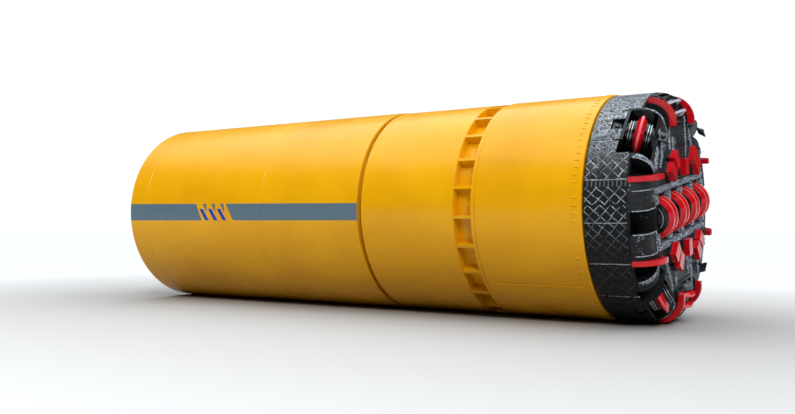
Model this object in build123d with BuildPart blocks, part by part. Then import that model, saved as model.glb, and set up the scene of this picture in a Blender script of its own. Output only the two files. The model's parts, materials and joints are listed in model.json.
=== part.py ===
from build123d import *
import math
import os

# Pipe-jacking tunnel boring machine for rock, with a slurry circuit.
# Row frame: +X towards the cutterhead, +Z up, the floor at Z = 0 and the machine's middle at X = 0.
# A station is a distance in millimetres ahead of the front shield's front edge, so it is negative
# behind that edge. A radius is measured from the machine's axis.

os.makedirs("parts", exist_ok=True)

# Clearances
MOVING_GAP = 6.0
RUNNING_GAP = 0.06

# Shield and cans
SHIELD_RADIUS = 612.0
MIDDLE_STEP = 4.0
CAN_SKIN = 20.0
SHIELD_SKIN = 30.0
SHIELD_LENGTH = 588.0
POCKET_RING_LENGTH = 131.0
MIDDLE_LENGTH = 604.0
JOINT_GAP = 28.0
STEERING_LENGTH = 738.0
TAIL_LENGTH = 1061.0
COLLAR_LENGTH = 159.0
COLLAR_WALL = 12.0
THRUST_RING_DEPTH = 40.0
THRUST_RING_WIDTH = 92.0
EDGE_CHAMFER = 3.0

# Bolt pockets between the front shield and the middle can
POCKET_COUNT = 24
POCKET_RIB = 17.0
POCKET_LENGTH = 104.0
POCKET_DEPTH = 51.0
POCKET_FRONT_WALL = 23.0
POCKET_RING_WALL = 78.0
POCKET_PHASE = 12.5

# Raised plates on the lower half of the front shield
SKID_LENGTH = 492.0
SKID_FRONT_INSET = 44.0
SKID_TOP_ANGLE = -41.5
SKID_ARC = 8.0
SKID_THICKNESS = 5.0
PORT_PLATE_LENGTH = 200.0
PORT_PLATE_INSET = 297.0
PORT_PLATE_ANGLE = -65.0
PORT_PLATE_ARC = 9.0

# Steering joint
STEER_LIMIT = 1.5
SPIGOT_GAP = 9.0
SPIGOT_WALL = 20.0
SPIGOT_REACH = 100.0
SPIGOT_WEB = 25.0
SEAL_RING_GAP = 7.0
SEAL_RING_WALL = 16.0
SEAL_RING_REAR = 75.0
SEAL_RING_FRONT = 7.0

# Steering cylinders
CYLINDER_INSET = 102.0
BARREL_RADIUS = 52.0
BARREL_LENGTH = 230.0
ROD_RADIUS = 30.0
ROD_EYE_RADIUS = 40.0
ROD_EYE_WIDTH = 62.0
ROD_PIN_RADIUS = 18.0
ROD_PIN_DRIFT = 4.0
ROD_EYE_AHEAD = 47.0
CHEEK_THICKNESS = 18.0
CHEEK_SIDE_GAP = 8.0
FRAME_DEPTH = 40.0
FRAME_WIDTH = 162.0
CYLINDER_FRAME_BEHIND = 453.0

# Main drive
BULKHEAD_DEPTH = 60.0
BULKHEAD_AHEAD = 28.0
HOUSING_RADIUS = 300.0
HOUSING_LENGTH = 300.0
HOUSING_CHAMFER = 30.0
JOURNAL_RADIUS = 200.0
GEARBOX_RADIUS = 430.0
GEARBOX_LENGTH = 200.0
MOTOR_RADIUS = 340.0
MOTOR_LENGTH = 400.0

# Slurry pipes, walkway and cabinets in the rear cans
PIPE_RADIUS = 55.0
PIPE_WALL = 6.0
PIPE_SIDE = 170.0
PIPE_DROP = 400.0
PIPE_FLANGE_RADIUS = 85.0
PIPE_FLANGE_DEPTH = 18.0
PIPE_END_INSET = 70.0
PIPE_LENGTH = 1240.0
SADDLE_THICKNESS = 12.0
SADDLE_TOP = -300.0
SADDLE_INSETS = (240.0, 1120.0)
WALKWAY_WIDTH = 480.0
WALKWAY_THICKNESS = 8.0
CABINET_FACE = 340.0
CABINET_LENGTH = 600.0
CABINET_HEIGHT = 400.0
CABINET_INSET = 300.0
PACK_LENGTH = 700.0
PACK_HEIGHT = 360.0
TARGET_SIZE = (160.0, 190.0, 120.0)
TARGET_SIDE = 180.0
TARGET_RISE = 390.0

# Cutterhead: drum, face and centre row
HEAD_TURN = 8.3
DRUM_INSET = 12.0
DRUM_WALL = 40.0
DRUM_FRONT = 225.0
SHOULDER_RADIUS = 85.0
FACE_THICKNESS = 60.0
WEAR_PLATE_COUNT = 18
WEAR_PLATE_THICKNESS = 6.0
WEAR_PLATE_GAP = 10.0
WEAR_PLATE_MARGIN = 6.0
ROW_OFFSET = -10.0
SLOT_HALF_WIDTH = 125.0
BEAM_THICKNESS = 32.0
BEAM_RISE = 6.0
RECESS_OFFSET = -4.0
RECESS_HALF_WIDTH = 57.0
PARTITION_THICKNESS = 30.0
PARTITION_RISE = 10.0
PARTITION_NOTCH = 30.0
HUB_FLANGE_INSET = 140.0
HUB_FLANGE_DEPTH = 40.0
HUB_FRONT = 140.0
CONE_REAR_RADIUS = 240.0

# Disc cutters. A cutter set in the face has an angle, a station, a distance inside the drum's
# surface, and the lean of its housing's mouth from the machine's axis.
CUTTER_COUNT = 4
CUTTER_PITCH = 213.0
CUTTER_AXIS = 266.0
CUTTER_RADIUS = 110.0
RIDGE_SPACING = 58.0
RIDGE_TIP = 10.0
RIDGE_BASE = 42.0
RIDGE_HEIGHT = 28.0
HUB_RADIUS = 66.0
HUB_HALF_LENGTH = 85.0
BODY_HALF_LENGTH = 60.0
SHAFT_RADIUS = 40.0
FACE_CUTTER_PLACES = ((90.0, 247.0, 110.0, 23.0), (270.0, 248.0, 126.0, 13.0))
FACE_CUTTER_RADIUS = 108.0
GAUGE_LEAN_AHEAD = 39.7
GAUGE_LEAN_BEHIND = 35.3
GAUGE_PLACE_AHEAD = (216.0, 83.0, 68.5)
GAUGE_PLACE_BEHIND = (258.0, 100.0, 58.0)
GAUGE_RADIUS = 100.0
GAUGE_HUB_HALF_LENGTH = 62.0
GAUGE_BODY_HALF_LENGTH = 32.0
GAUGE_RIDGE_BASE = 48.0
HUB_STEP = 12.0
WELL_WALL = 14.0
WELL_DEPTH = 120.0
WELL_RISE = 110.0
MOUTH_MARGIN = 4.0
FACE_MOUTH_RISE = 4.0
GAUGE_MOUTH_RISE = 12.0
RETAINER_WIDTH = 76.0
RETAINER_REACH = 140.0
RETAINER_DEPTH = 45.0
RETAINER_TOP = 20.0

# Arc bars on their side plates, muck openings and scrapers
ROW_PLATE_OFFSET = 203.0
POST_PLATE_OFFSET = 172.0
PLATE_THICKNESS = 26.0
PLATE_INNER = 400.0
ARC_RIM_GAP = 0.5
ARC_RADIUS = 131.0
ARC_WIDTH = 30.0
ARC_THICKNESS = 26.0
ARC_TAIL = 22.0
OPENING_DIAGONAL_GAP = 150.0
BIT_RADIAL = 86.0
BIT_ACROSS = 62.0
BIT_HEIGHT = 29.0
HOLDER_MARGIN = 1.5
HOLDER_HEIGHT = 17.0
BIT_PLACES = ((212.0, 90.0), (310.0, 55.0), (310.0, 124.0), (310.0, 40.0), (313.0, 139.0))

# Stations worked out from the lengths
shield_rear = -SHIELD_LENGTH
pocket_rear = shield_rear - POCKET_RING_LENGTH
middle_rear = pocket_rear - MIDDLE_LENGTH
steering_front = middle_rear - JOINT_GAP
steering_rear = steering_front - STEERING_LENGTH
tail_rear = steering_rear - TAIL_LENGTH
collar_rear = tail_rear - COLLAR_LENGTH
pivot = middle_rear - JOINT_GAP / 2
middle_radius = SHIELD_RADIUS - MIDDLE_STEP
can_bore = SHIELD_RADIUS - CAN_SKIN
middle_bore = middle_radius - CAN_SKIN
shield_bore = SHIELD_RADIUS - SHIELD_SKIN
frame_bore = can_bore - FRAME_WIDTH
cylinder_circle = can_bore - CYLINDER_INSET
front_reach = CUTTER_AXIS + CUTTER_RADIUS
axis_height = SHIELD_RADIUS
front_edge = (-collar_rear - front_reach) / 2

MACHINE_AXIS = Axis((0, 0, axis_height), (1, 0, 0))
SIDE = Plane(origin=(front_edge, 0, axis_height), x_dir=(1, 0, 0), z_dir=(0, -1, 0))


def cross_plane(station, turn=0.0):
    """Plane across the machine at a station: local x to +Y and local y up, turned about the axis."""
    angle = math.radians(turn)
    across = (0, math.cos(angle), math.sin(angle))
    return Plane(origin=(front_edge + station, 0, axis_height), x_dir=across, z_dir=(1, 0, 0))


def radial_plane(turn):
    """Plane through the axis at an angle: local x is the station and local y the radius."""
    angle = math.radians(turn)
    sideways = (0, -math.sin(angle), math.cos(angle))
    return Plane(origin=(front_edge, 0, axis_height), x_dir=(1, 0, 0), z_dir=sideways)


def on_circle(radius, degrees):
    """Point of a cross plane at a radius and an angle."""
    angle = math.radians(degrees)
    return (radius * math.cos(angle), radius * math.sin(angle))


def turn_outline(outline):
    """Turns an outline of (station, radius) points about the machine's axis, inside an open part."""
    with BuildSketch(SIDE) as section:
        with BuildLine():
            Polyline(*outline, close=True)
        make_face()
    revolve(section.sketch, axis=MACHINE_AXIS)


def extrude_outline(plane, outline, half_thickness):
    """Extrudes an outline to both sides of its plane, inside an open part."""
    with BuildSketch(plane) as section:
        with BuildLine():
            Polyline(*outline, close=True)
        make_face()
    extrude(section.sketch, amount=half_thickness, both=True)


def write(part, name):
    """Labels a finished piece and writes it."""
    part.label = name
    export_step(part, f"parts/{name}.step")


def chamfered_tube(rear, front, bore, radius):
    """Outline of a can with small chamfers on its outer edges."""
    return (
        (rear, bore),
        (front, bore),
        (front, radius - EDGE_CHAMFER),
        (front - EDGE_CHAMFER, radius),
        (rear + EDGE_CHAMFER, radius),
        (rear, radius - EDGE_CHAMFER),
    )


# Rear cans: the tail collar takes the first jacking pipe, which pushes on the thrust ring.
with BuildPart() as tail_collar:
    turn_outline(chamfered_tube(collar_rear, tail_rear, SHIELD_RADIUS - COLLAR_WALL, SHIELD_RADIUS))
write(tail_collar.part, "tail_collar")

with BuildPart() as tail_can:
    turn_outline(chamfered_tube(tail_rear, steering_rear, can_bore, SHIELD_RADIUS))
write(tail_can.part, "tail_can")

with BuildPart() as steering_can:
    turn_outline(chamfered_tube(steering_rear, steering_front, can_bore, SHIELD_RADIUS))
write(steering_can.part, "steering_can")

with BuildPart() as thrust_ring:
    with BuildSketch(cross_plane(tail_rear)):
        Circle(can_bore)
        Circle(can_bore - THRUST_RING_WIDTH, mode=Mode.SUBTRACT)
    extrude(amount=THRUST_RING_DEPTH)
write(thrust_ring.part, "thrust_ring")

# Steering cylinders: the barrels stand on a ring frame and push on the middle can's frame.
cylinder_frame_front = pivot - CYLINDER_FRAME_BEHIND + FRAME_DEPTH
barrel_front = cylinder_frame_front + BARREL_LENGTH
rod_eye = pivot + ROD_EYE_AHEAD
CYLINDER_NAMES = {"left": 0.0, "top": 90.0, "right": 180.0, "bottom": 270.0}

with BuildPart() as cylinder_frame:
    with BuildSketch(cross_plane(cylinder_frame_front - FRAME_DEPTH)):
        Circle(can_bore)
        Circle(frame_bore, mode=Mode.SUBTRACT)
    extrude(amount=FRAME_DEPTH)
write(cylinder_frame.part, "cylinder_frame")

with BuildPart() as steering_barrels:
    with BuildSketch(cross_plane(cylinder_frame_front)):
        with PolarLocations(cylinder_circle, len(CYLINDER_NAMES)):
            Circle(BARREL_RADIUS)
    extrude(amount=BARREL_LENGTH)
    with BuildSketch(cross_plane(cylinder_frame_front + CAN_SKIN)):
        with PolarLocations(cylinder_circle, len(CYLINDER_NAMES)):
            Circle(ROD_RADIUS + RUNNING_GAP)
    extrude(amount=BARREL_LENGTH, mode=Mode.SUBTRACT)
write(steering_barrels.part, "steering_barrels")

# The rod's foot stands clear of the barrel's closed end by the stroke.
stroke = cylinder_circle * math.sin(math.radians(STEER_LIMIT)) + MOVING_GAP
for side, turn in CYLINDER_NAMES.items():
    with BuildPart() as steering_rod:
        with BuildSketch(cross_plane(cylinder_frame_front + CAN_SKIN + stroke)):
            with Locations(on_circle(cylinder_circle, turn)):
                Circle(ROD_RADIUS)
        extrude(amount=rod_eye - cylinder_frame_front - CAN_SKIN - stroke)
        with BuildSketch(radial_plane(turn)):
            with Locations((rod_eye, cylinder_circle)):
                Circle(ROD_EYE_RADIUS)
        extrude(amount=ROD_EYE_WIDTH / 2, both=True)
        with BuildSketch(radial_plane(turn)):
            with Locations((rod_eye, cylinder_circle)):
                Circle(ROD_PIN_RADIUS + ROD_PIN_DRIFT)
        extrude(amount=ROD_EYE_WIDTH, both=True, mode=Mode.SUBTRACT)
    write(steering_rod.part, f"steering_rod_{side}")

# Seal ring of the steering joint, between the steering can and the middle can's spigot.
seal_outer = can_bore - SEAL_RING_GAP
seal_inner = seal_outer - SEAL_RING_WALL
with BuildPart() as articulation_ring:
    turn_outline(
        (
            (pivot - SEAL_RING_REAR, seal_inner),
            (pivot - SEAL_RING_FRONT, seal_inner),
            (pivot - SEAL_RING_FRONT, seal_outer),
            (pivot - SEAL_RING_REAR, seal_outer),
        )
    )
write(articulation_ring.part, "articulation_ring")

# Slurry pipes lie side by side in two saddles under the walkway.
pipe_rear = tail_rear + PIPE_END_INSET
for pipe_name, side in (("feed_pipe", 1), ("return_pipe", -1)):
    with BuildPart() as slurry_pipe:
        with BuildSketch(cross_plane(pipe_rear)):
            with Locations((side * PIPE_SIDE, -PIPE_DROP)):
                Circle(PIPE_RADIUS)
        extrude(amount=PIPE_LENGTH)
        with BuildSketch(cross_plane(pipe_rear + PIPE_LENGTH - PIPE_FLANGE_DEPTH)):
            with Locations((side * PIPE_SIDE, -PIPE_DROP)):
                Circle(PIPE_FLANGE_RADIUS)
        extrude(amount=PIPE_FLANGE_DEPTH)
        with BuildSketch(cross_plane(pipe_rear)):
            with Locations((side * PIPE_SIDE, -PIPE_DROP)):
                Circle(PIPE_RADIUS - PIPE_WALL)
        extrude(amount=PIPE_LENGTH, mode=Mode.SUBTRACT)
    write(slurry_pipe.part, pipe_name)

with BuildPart() as pipe_saddles:
    for inset in SADDLE_INSETS:
        with BuildSketch(cross_plane(pipe_rear + inset)):
            Circle(can_bore)
            with Locations((0, SADDLE_TOP)):
                Rectangle(2 * can_bore, 2 * can_bore, align=(Align.CENTER, Align.MIN), mode=Mode.SUBTRACT)
            with Locations((PIPE_SIDE, -PIPE_DROP), (-PIPE_SIDE, -PIPE_DROP)):
                Circle(PIPE_RADIUS, mode=Mode.SUBTRACT)
        extrude(amount=SADDLE_THICKNESS)
write(pipe_saddles.part, "pipe_saddles")

with BuildPart() as walkway:
    with BuildSketch(cross_plane(pipe_rear)):
        with Locations((0, SADDLE_TOP)):
            Rectangle(WALKWAY_WIDTH, WALKWAY_THICKNESS, align=(Align.CENTER, Align.MIN))
    extrude(amount=PIPE_LENGTH - PIPE_FLANGE_DEPTH)
write(walkway.part, "walkway")

# The control cabinet and the power pack hug the tail can's wall.
for box_name, side, length, height in (
    ("control_cabinet", 1, CABINET_LENGTH, CABINET_HEIGHT),
    ("power_pack", -1, PACK_LENGTH, PACK_HEIGHT),
):
    with BuildPart() as wall_box:
        with BuildSketch(cross_plane(tail_rear + CABINET_INSET)):
            with Locations((side * CABINET_FACE, 0)):
                Rectangle(can_bore, height, align=(Align.MIN if side > 0 else Align.MAX, Align.CENTER))
            Circle(can_bore, mode=Mode.INTERSECT)
        extrude(amount=length)
    write(wall_box.part, box_name)

# Laser target, on the cylinder frame's rear face.
with BuildPart() as laser_target:
    with BuildSketch(cross_plane(cylinder_frame_front - FRAME_DEPTH)):
        with Locations((TARGET_SIDE, TARGET_RISE)):
            Rectangle(TARGET_SIZE[1], TARGET_SIZE[2])
    extrude(amount=-TARGET_SIZE[0])
write(laser_target.part, "laser_target")

# Middle can: its rear web and spigot reach into the steering can.
spigot_radius = seal_inner - SPIGOT_GAP
with BuildPart() as middle_can:
    turn_outline(
        (
            (middle_rear, spigot_radius),
            (pivot - SPIGOT_REACH, spigot_radius),
            (pivot - SPIGOT_REACH, spigot_radius - SPIGOT_WALL),
            (middle_rear + SPIGOT_WEB, spigot_radius - SPIGOT_WALL),
            (middle_rear + SPIGOT_WEB, middle_bore),
            (pocket_rear, middle_bore),
            (pocket_rear, middle_radius - EDGE_CHAMFER),
            (pocket_rear - EDGE_CHAMFER, middle_radius),
            (middle_rear + EDGE_CHAMFER, middle_radius),
            (middle_rear, middle_radius - EDGE_CHAMFER),
        )
    )
write(middle_can.part, "middle_can")

# Frame in the middle can, with a pinned clevis on it for each steering rod.
joint_frame_rear = rod_eye + ROD_EYE_RADIUS + 2 * MOVING_GAP + stroke
cheek_inner = ROD_EYE_WIDTH / 2 + CHEEK_SIDE_GAP
cheek_middle = cheek_inner + CHEEK_THICKNESS / 2
cheek_outline = (
    (joint_frame_rear, cylinder_circle - ROD_EYE_RADIUS),
    (joint_frame_rear, cylinder_circle + ROD_EYE_RADIUS),
    (rod_eye - ROD_EYE_RADIUS, cylinder_circle + ROD_EYE_RADIUS / 2),
    (rod_eye - ROD_EYE_RADIUS, cylinder_circle - ROD_EYE_RADIUS / 2),
)
with BuildPart() as joint_frame:
    with BuildSketch(cross_plane(joint_frame_rear)):
        Circle(middle_bore)
        Circle(frame_bore, mode=Mode.SUBTRACT)
    extrude(amount=FRAME_DEPTH)
write(joint_frame.part, "joint_frame")

with BuildPart() as rod_clevises:
    for turn in CYLINDER_NAMES.values():
        for cheek in (-cheek_middle, cheek_middle):
            extrude_outline(radial_plane(turn).offset(cheek), cheek_outline, CHEEK_THICKNESS / 2)
        with BuildSketch(radial_plane(turn)):
            with Locations((rod_eye, cylinder_circle)):
                Circle(ROD_PIN_RADIUS)
        extrude(amount=cheek_inner + CHEEK_THICKNESS, both=True)
write(rod_clevises.part, "rod_clevises")

# Bolt ring: open pockets all round, parted by ribs, reach the bolts that hold the front shield.
pocket_front = shield_rear - POCKET_FRONT_WALL
pocket_floor = middle_radius - POCKET_DEPTH
with BuildPart() as bolt_pocket_ring:
    turn_outline(chamfered_tube(pocket_rear, shield_rear, middle_radius - POCKET_RING_WALL, middle_radius))
    with BuildSketch(cross_plane(pocket_front)) as pocket_sketch:
        Circle(SHIELD_RADIUS)
        Circle(pocket_floor, mode=Mode.SUBTRACT)
        with PolarLocations(0, POCKET_COUNT, start_angle=POCKET_PHASE - 180 / POCKET_COUNT):
            Rectangle(SHIELD_RADIUS, POCKET_RIB, align=(Align.MIN, Align.CENTER), mode=Mode.SUBTRACT)
    extrude(amount=-POCKET_LENGTH, mode=Mode.SUBTRACT)
write(bolt_pocket_ring.part, "bolt_pocket_ring")

with BuildPart() as front_shield:
    turn_outline(chamfered_tube(shield_rear, 0.0, shield_bore, SHIELD_RADIUS))
write(front_shield.part, "front_shield")


def shell_patch(front, length, middle_angle, arc):
    """Raised plate on the front shield, centred on an angle, inside an open part."""
    with BuildSketch(cross_plane(front)) as patch:
        Circle(SHIELD_RADIUS + SKID_THICKNESS)
        Circle(SHIELD_RADIUS, mode=Mode.SUBTRACT)
        with BuildLine():
            Polyline(
                (0, 0),
                on_circle(2 * SHIELD_RADIUS, middle_angle - arc / 2),
                on_circle(2 * SHIELD_RADIUS, middle_angle + arc / 2),
                close=True,
            )
        make_face(mode=Mode.INTERSECT)
    extrude(patch.sketch, amount=-length)


with BuildPart() as skid_plates:
    for angle in (SKID_TOP_ANGLE - SKID_ARC / 2, 180 - SKID_TOP_ANGLE + SKID_ARC / 2):
        shell_patch(-SKID_FRONT_INSET, SKID_LENGTH, angle, SKID_ARC)
    for angle in (PORT_PLATE_ANGLE, 180 - PORT_PLATE_ANGLE):
        shell_patch(-PORT_PLATE_INSET, PORT_PLATE_LENGTH, angle, PORT_PLATE_ARC)
write(skid_plates.part, "skid_plates")

# Bulkhead, bearing housing and the main drive's block.
bulkhead_rear = shield_rear + BULKHEAD_AHEAD
bulkhead_front = bulkhead_rear + BULKHEAD_DEPTH
housing_front = bulkhead_front + HOUSING_LENGTH
with BuildPart() as bulkhead:
    with BuildSketch(cross_plane(bulkhead_rear)):
        Circle(shield_bore)
        Circle(HOUSING_RADIUS, mode=Mode.SUBTRACT)
    extrude(amount=BULKHEAD_DEPTH)
write(bulkhead.part, "bulkhead")

with BuildPart() as bearing_housing:
    with BuildSketch(cross_plane(bulkhead_rear)):
        Circle(HOUSING_RADIUS)
        Circle(JOURNAL_RADIUS + RUNNING_GAP, mode=Mode.SUBTRACT)
    extrude(amount=BULKHEAD_DEPTH + HOUSING_LENGTH)
    front_edges = bearing_housing.edges().filter_by(GeomType.CIRCLE).group_by(Axis.X)[-1]
    chamfer(front_edges.sort_by(SortBy.RADIUS)[-1], HOUSING_CHAMFER)
write(bearing_housing.part, "bearing_housing")

with BuildPart() as main_drive:
    turn_outline(
        (
            (bulkhead_rear, 0),
            (bulkhead_rear, GEARBOX_RADIUS),
            (bulkhead_rear - GEARBOX_LENGTH, GEARBOX_RADIUS),
            (bulkhead_rear - GEARBOX_LENGTH, MOTOR_RADIUS),
            (bulkhead_rear - GEARBOX_LENGTH - MOTOR_LENGTH, MOTOR_RADIUS),
            (bulkhead_rear - GEARBOX_LENGTH - MOTOR_LENGTH, 0),
        )
    )
write(main_drive.part, "main_drive")


# Cutterhead. Angles below are measured in the head, which stands turned by HEAD_TURN. The centre
# row lies along the row spokes, and the face cutters sit on the post spokes.
ROW_SPOKES = (0.0, 180.0)
POST_SPOKES = (90.0, 270.0)
drum_rear = MOVING_GAP
drum_radius = SHIELD_RADIUS - DRUM_INSET
drum_bore = drum_radius - DRUM_WALL
face_front = DRUM_FRONT + SHOULDER_RADIUS
face_back = face_front - FACE_THICKNESS
shoulder_radius = drum_radius - SHOULDER_RADIUS
hub_flange_radius = drum_radius - HUB_FLANGE_INSET
beyond_rim = drum_radius + WELL_RISE


def head_plane(station):
    """Plane across the head, with local x along the centre row."""
    return cross_plane(station, HEAD_TURN)


def spoke_plane(spoke, side):
    """Plane along a spoke, at a distance to its side: local x is the station, local y runs outwards."""
    return radial_plane(HEAD_TURN + spoke).offset(side)


def beside_spoke(spoke, out, side):
    """Point of a head plane, from its distances along a spoke and to the spoke's side."""
    angle = math.radians(spoke)
    return (
        out * math.cos(angle) - side * math.sin(angle),
        out * math.sin(angle) + side * math.cos(angle),
    )


def cutter_plane(angle, station, inset, lean):
    """Plane of a cutter set in the face: local x along its shaft and local z out of its housing."""
    turn = math.radians(angle + HEAD_TURN)
    radius = drum_radius - inset
    outwards = (math.cos(turn), math.sin(turn))
    tilt = math.radians(lean)
    shaft = (math.sin(tilt), -math.cos(tilt) * outwards[0], -math.cos(tilt) * outwards[1])
    normal = (math.cos(tilt), math.sin(tilt) * outwards[0], math.sin(tilt) * outwards[1])
    origin = (front_edge + station, radius * outwards[0], axis_height + radius * outwards[1])
    return Plane(origin=origin, x_dir=shaft, z_dir=normal)


face_planes = [cutter_plane(*place) for place in FACE_CUTTER_PLACES]
gauge_planes = []
for spoke in POST_SPOKES:
    gauge_planes.append(cutter_plane(spoke - GAUGE_LEAN_BEHIND, *GAUGE_PLACE_BEHIND))
    gauge_planes.append(cutter_plane(spoke + GAUGE_LEAN_AHEAD, *GAUGE_PLACE_AHEAD))

face_well = (
    2 * (HUB_HALF_LENGTH + MOVING_GAP + WELL_WALL),
    2 * (FACE_CUTTER_RADIUS + MOVING_GAP + WELL_WALL),
)
gauge_well = (
    2 * (GAUGE_HUB_HALF_LENGTH + MOVING_GAP + WELL_WALL),
    2 * (GAUGE_RADIUS + MOVING_GAP + WELL_WALL),
)
side_plates = [(spoke, hand * ROW_PLATE_OFFSET) for spoke in ROW_SPOKES for hand in (-1, 1)]
side_plates += [(spoke, hand * POST_PLATE_OFFSET) for spoke in POST_SPOKES for hand in (-1, 1)]


def cut_wells():
    """Cuts the room of the cutter housings and their retainers out of the open part."""
    for planes, size in ((face_planes, face_well), (gauge_planes, gauge_well)):
        for plane in planes:
            with BuildSketch(plane.offset(-WELL_DEPTH)) as well:
                Rectangle(*size)
            extrude(well.sketch, amount=WELL_DEPTH + WELL_RISE, mode=Mode.SUBTRACT)
    for plane in gauge_planes:
        with BuildSketch(plane.offset(-RETAINER_DEPTH)) as notch:
            Rectangle(2 * RETAINER_REACH, RETAINER_WIDTH)
        extrude(notch.sketch, amount=RETAINER_DEPTH + WELL_RISE, mode=Mode.SUBTRACT)


def build_wells(planes, size):
    """Builds open housings around cutters, inside an open part."""
    for plane in planes:
        with BuildSketch(plane.offset(-WELL_DEPTH)) as well:
            Rectangle(*size)
            Rectangle(size[0] - 2 * WELL_WALL, size[1] - 2 * WELL_WALL, mode=Mode.SUBTRACT)
        extrude(well.sketch, amount=WELL_DEPTH + WELL_RISE)


def trim_to_head(rise):
    """Trims the open part to the head's turned outline, raised at its shoulder and its front."""
    rim = drum_radius + MOUTH_MARGIN
    rounding = SHOULDER_RADIUS + rise
    with BuildSketch(SIDE) as outline:
        with BuildLine():
            Polyline(
                (face_front + rise, rim - rounding),
                (face_front + rise, 0),
                (drum_rear, 0),
                (drum_rear, rim),
                (DRUM_FRONT, rim),
            )
            RadiusArc((DRUM_FRONT, rim), (face_front + rise, rim - rounding), rounding)
        make_face()
    revolve(outline.sketch, axis=MACHINE_AXIS, mode=Mode.INTERSECT)


with BuildPart() as drum:
    turn_outline(chamfered_tube(drum_rear, DRUM_FRONT, drum_bore, drum_radius))
    cut_wells()
write(drum.part, "drum")

with BuildPart() as wear_plates:
    with BuildSketch(head_plane(drum_rear + WEAR_PLATE_MARGIN)):
        Circle(drum_radius + WEAR_PLATE_THICKNESS)
        Circle(drum_radius, mode=Mode.SUBTRACT)
        with PolarLocations(0, WEAR_PLATE_COUNT):
            Rectangle(beyond_rim, WEAR_PLATE_GAP, align=(Align.MIN, Align.CENTER), mode=Mode.SUBTRACT)
    extrude(amount=DRUM_FRONT - drum_rear - 2 * WEAR_PLATE_MARGIN)
    cut_wells()
write(wear_plates.part, "wear_plates")

# Face plate with a rounded shoulder. It is open at the centre row and the recesses at the row's
# ends, at the side plates, at the housings and at eight muck openings that run out to the rim.
row_half_length = (CUTTER_PITCH * CUTTER_COUNT + PARTITION_THICKNESS) / 2
plate_face = PLATE_THICKNESS / 2
with BuildPart() as face_plate:
    with BuildSketch(SIDE):
        with BuildLine():
            Polyline(
                (DRUM_FRONT, drum_radius),
                (DRUM_FRONT, drum_radius - FACE_THICKNESS),
                (face_back, shoulder_radius),
                (face_back, 0),
                (face_front, 0),
                (face_front, shoulder_radius),
            )
            RadiusArc((DRUM_FRONT, drum_radius), (face_front, shoulder_radius), SHOULDER_RADIUS)
        make_face()
    revolve(axis=MACHINE_AXIS)
    with BuildSketch(head_plane(face_back)):
        with Locations((0, ROW_OFFSET)):
            Rectangle(2 * row_half_length, 2 * (SLOT_HALF_WIDTH + BEAM_THICKNESS))
        with Locations((0, RECESS_OFFSET)):
            Rectangle(2 * beyond_rim, 2 * RECESS_HALF_WIDTH)
        for spoke, side in side_plates:
            with Locations(Location(beside_spoke(spoke, PLATE_INNER, side), spoke)):
                Rectangle(beyond_rim, PLATE_THICKNESS, align=(Align.MIN, Align.CENTER))
        for spoke in ROW_SPOKES:
            for hand in (-1, 1):
                near = ROW_PLATE_OFFSET + plate_face
                slant = OPENING_DIAGONAL_GAP * math.sqrt(2)
                with BuildLine():
                    Polyline(
                        beside_spoke(spoke, near + slant, hand * near),
                        beside_spoke(spoke, beyond_rim, hand * near),
                        beside_spoke(spoke, beyond_rim, hand * (beyond_rim - slant)),
                        close=True,
                    )
                make_face()
        for spoke in POST_SPOKES:
            for hand, lean in ((-1, GAUGE_LEAN_BEHIND), (1, GAUGE_LEAN_AHEAD)):
                near = POST_PLATE_OFFSET + plate_face
                across = math.cos(math.radians(lean))
                along = math.sin(math.radians(lean))
                with BuildLine():
                    Polyline(
                        beside_spoke(spoke, (near * across + gauge_well[1] / 2) / along, hand * near),
                        beside_spoke(spoke, beyond_rim, hand * near),
                        beside_spoke(spoke, beyond_rim, hand * (beyond_rim * along - gauge_well[1] / 2) / across),
                        close=True,
                    )
                make_face()
    extrude(amount=2 * FACE_THICKNESS, both=True, mode=Mode.SUBTRACT)
    cut_wells()
write(face_plate.part, "face_plate")

with BuildPart() as centre_beams:
    for hand in (-1, 1):
        with BuildSketch(head_plane(HUB_FRONT)):
            with Locations((0, ROW_OFFSET + hand * (SLOT_HALF_WIDTH + BEAM_THICKNESS / 2))):
                Rectangle(2 * row_half_length, BEAM_THICKNESS)
        extrude(amount=face_front + BEAM_RISE - HUB_FRONT)
write(centre_beams.part, "centre_beams")

# Partitions hold the row's shafts: each is notched down to the shaft in its middle.
partition_outline = (
    (HUB_FRONT, ROW_OFFSET - SLOT_HALF_WIDTH),
    (face_front + PARTITION_RISE, ROW_OFFSET - SLOT_HALF_WIDTH),
    (CUTTER_AXIS + SHAFT_RADIUS, ROW_OFFSET - PARTITION_NOTCH),
    (CUTTER_AXIS + SHAFT_RADIUS, ROW_OFFSET + PARTITION_NOTCH),
    (face_front + PARTITION_RISE, ROW_OFFSET + SLOT_HALF_WIDTH),
    (HUB_FRONT, ROW_OFFSET + SLOT_HALF_WIDTH),
)
with BuildPart() as centre_partitions:
    for step in range(CUTTER_COUNT + 1):
        place = CUTTER_PITCH * (step - CUTTER_COUNT / 2)
        extrude_outline(spoke_plane(POST_SPOKES[0], place), partition_outline, PARTITION_THICKNESS / 2)
write(centre_partitions.part, "centre_partitions")

with BuildPart() as face_housings:
    build_wells(face_planes, face_well)
    trim_to_head(FACE_MOUTH_RISE)
write(face_housings.part, "face_housings")

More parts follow.
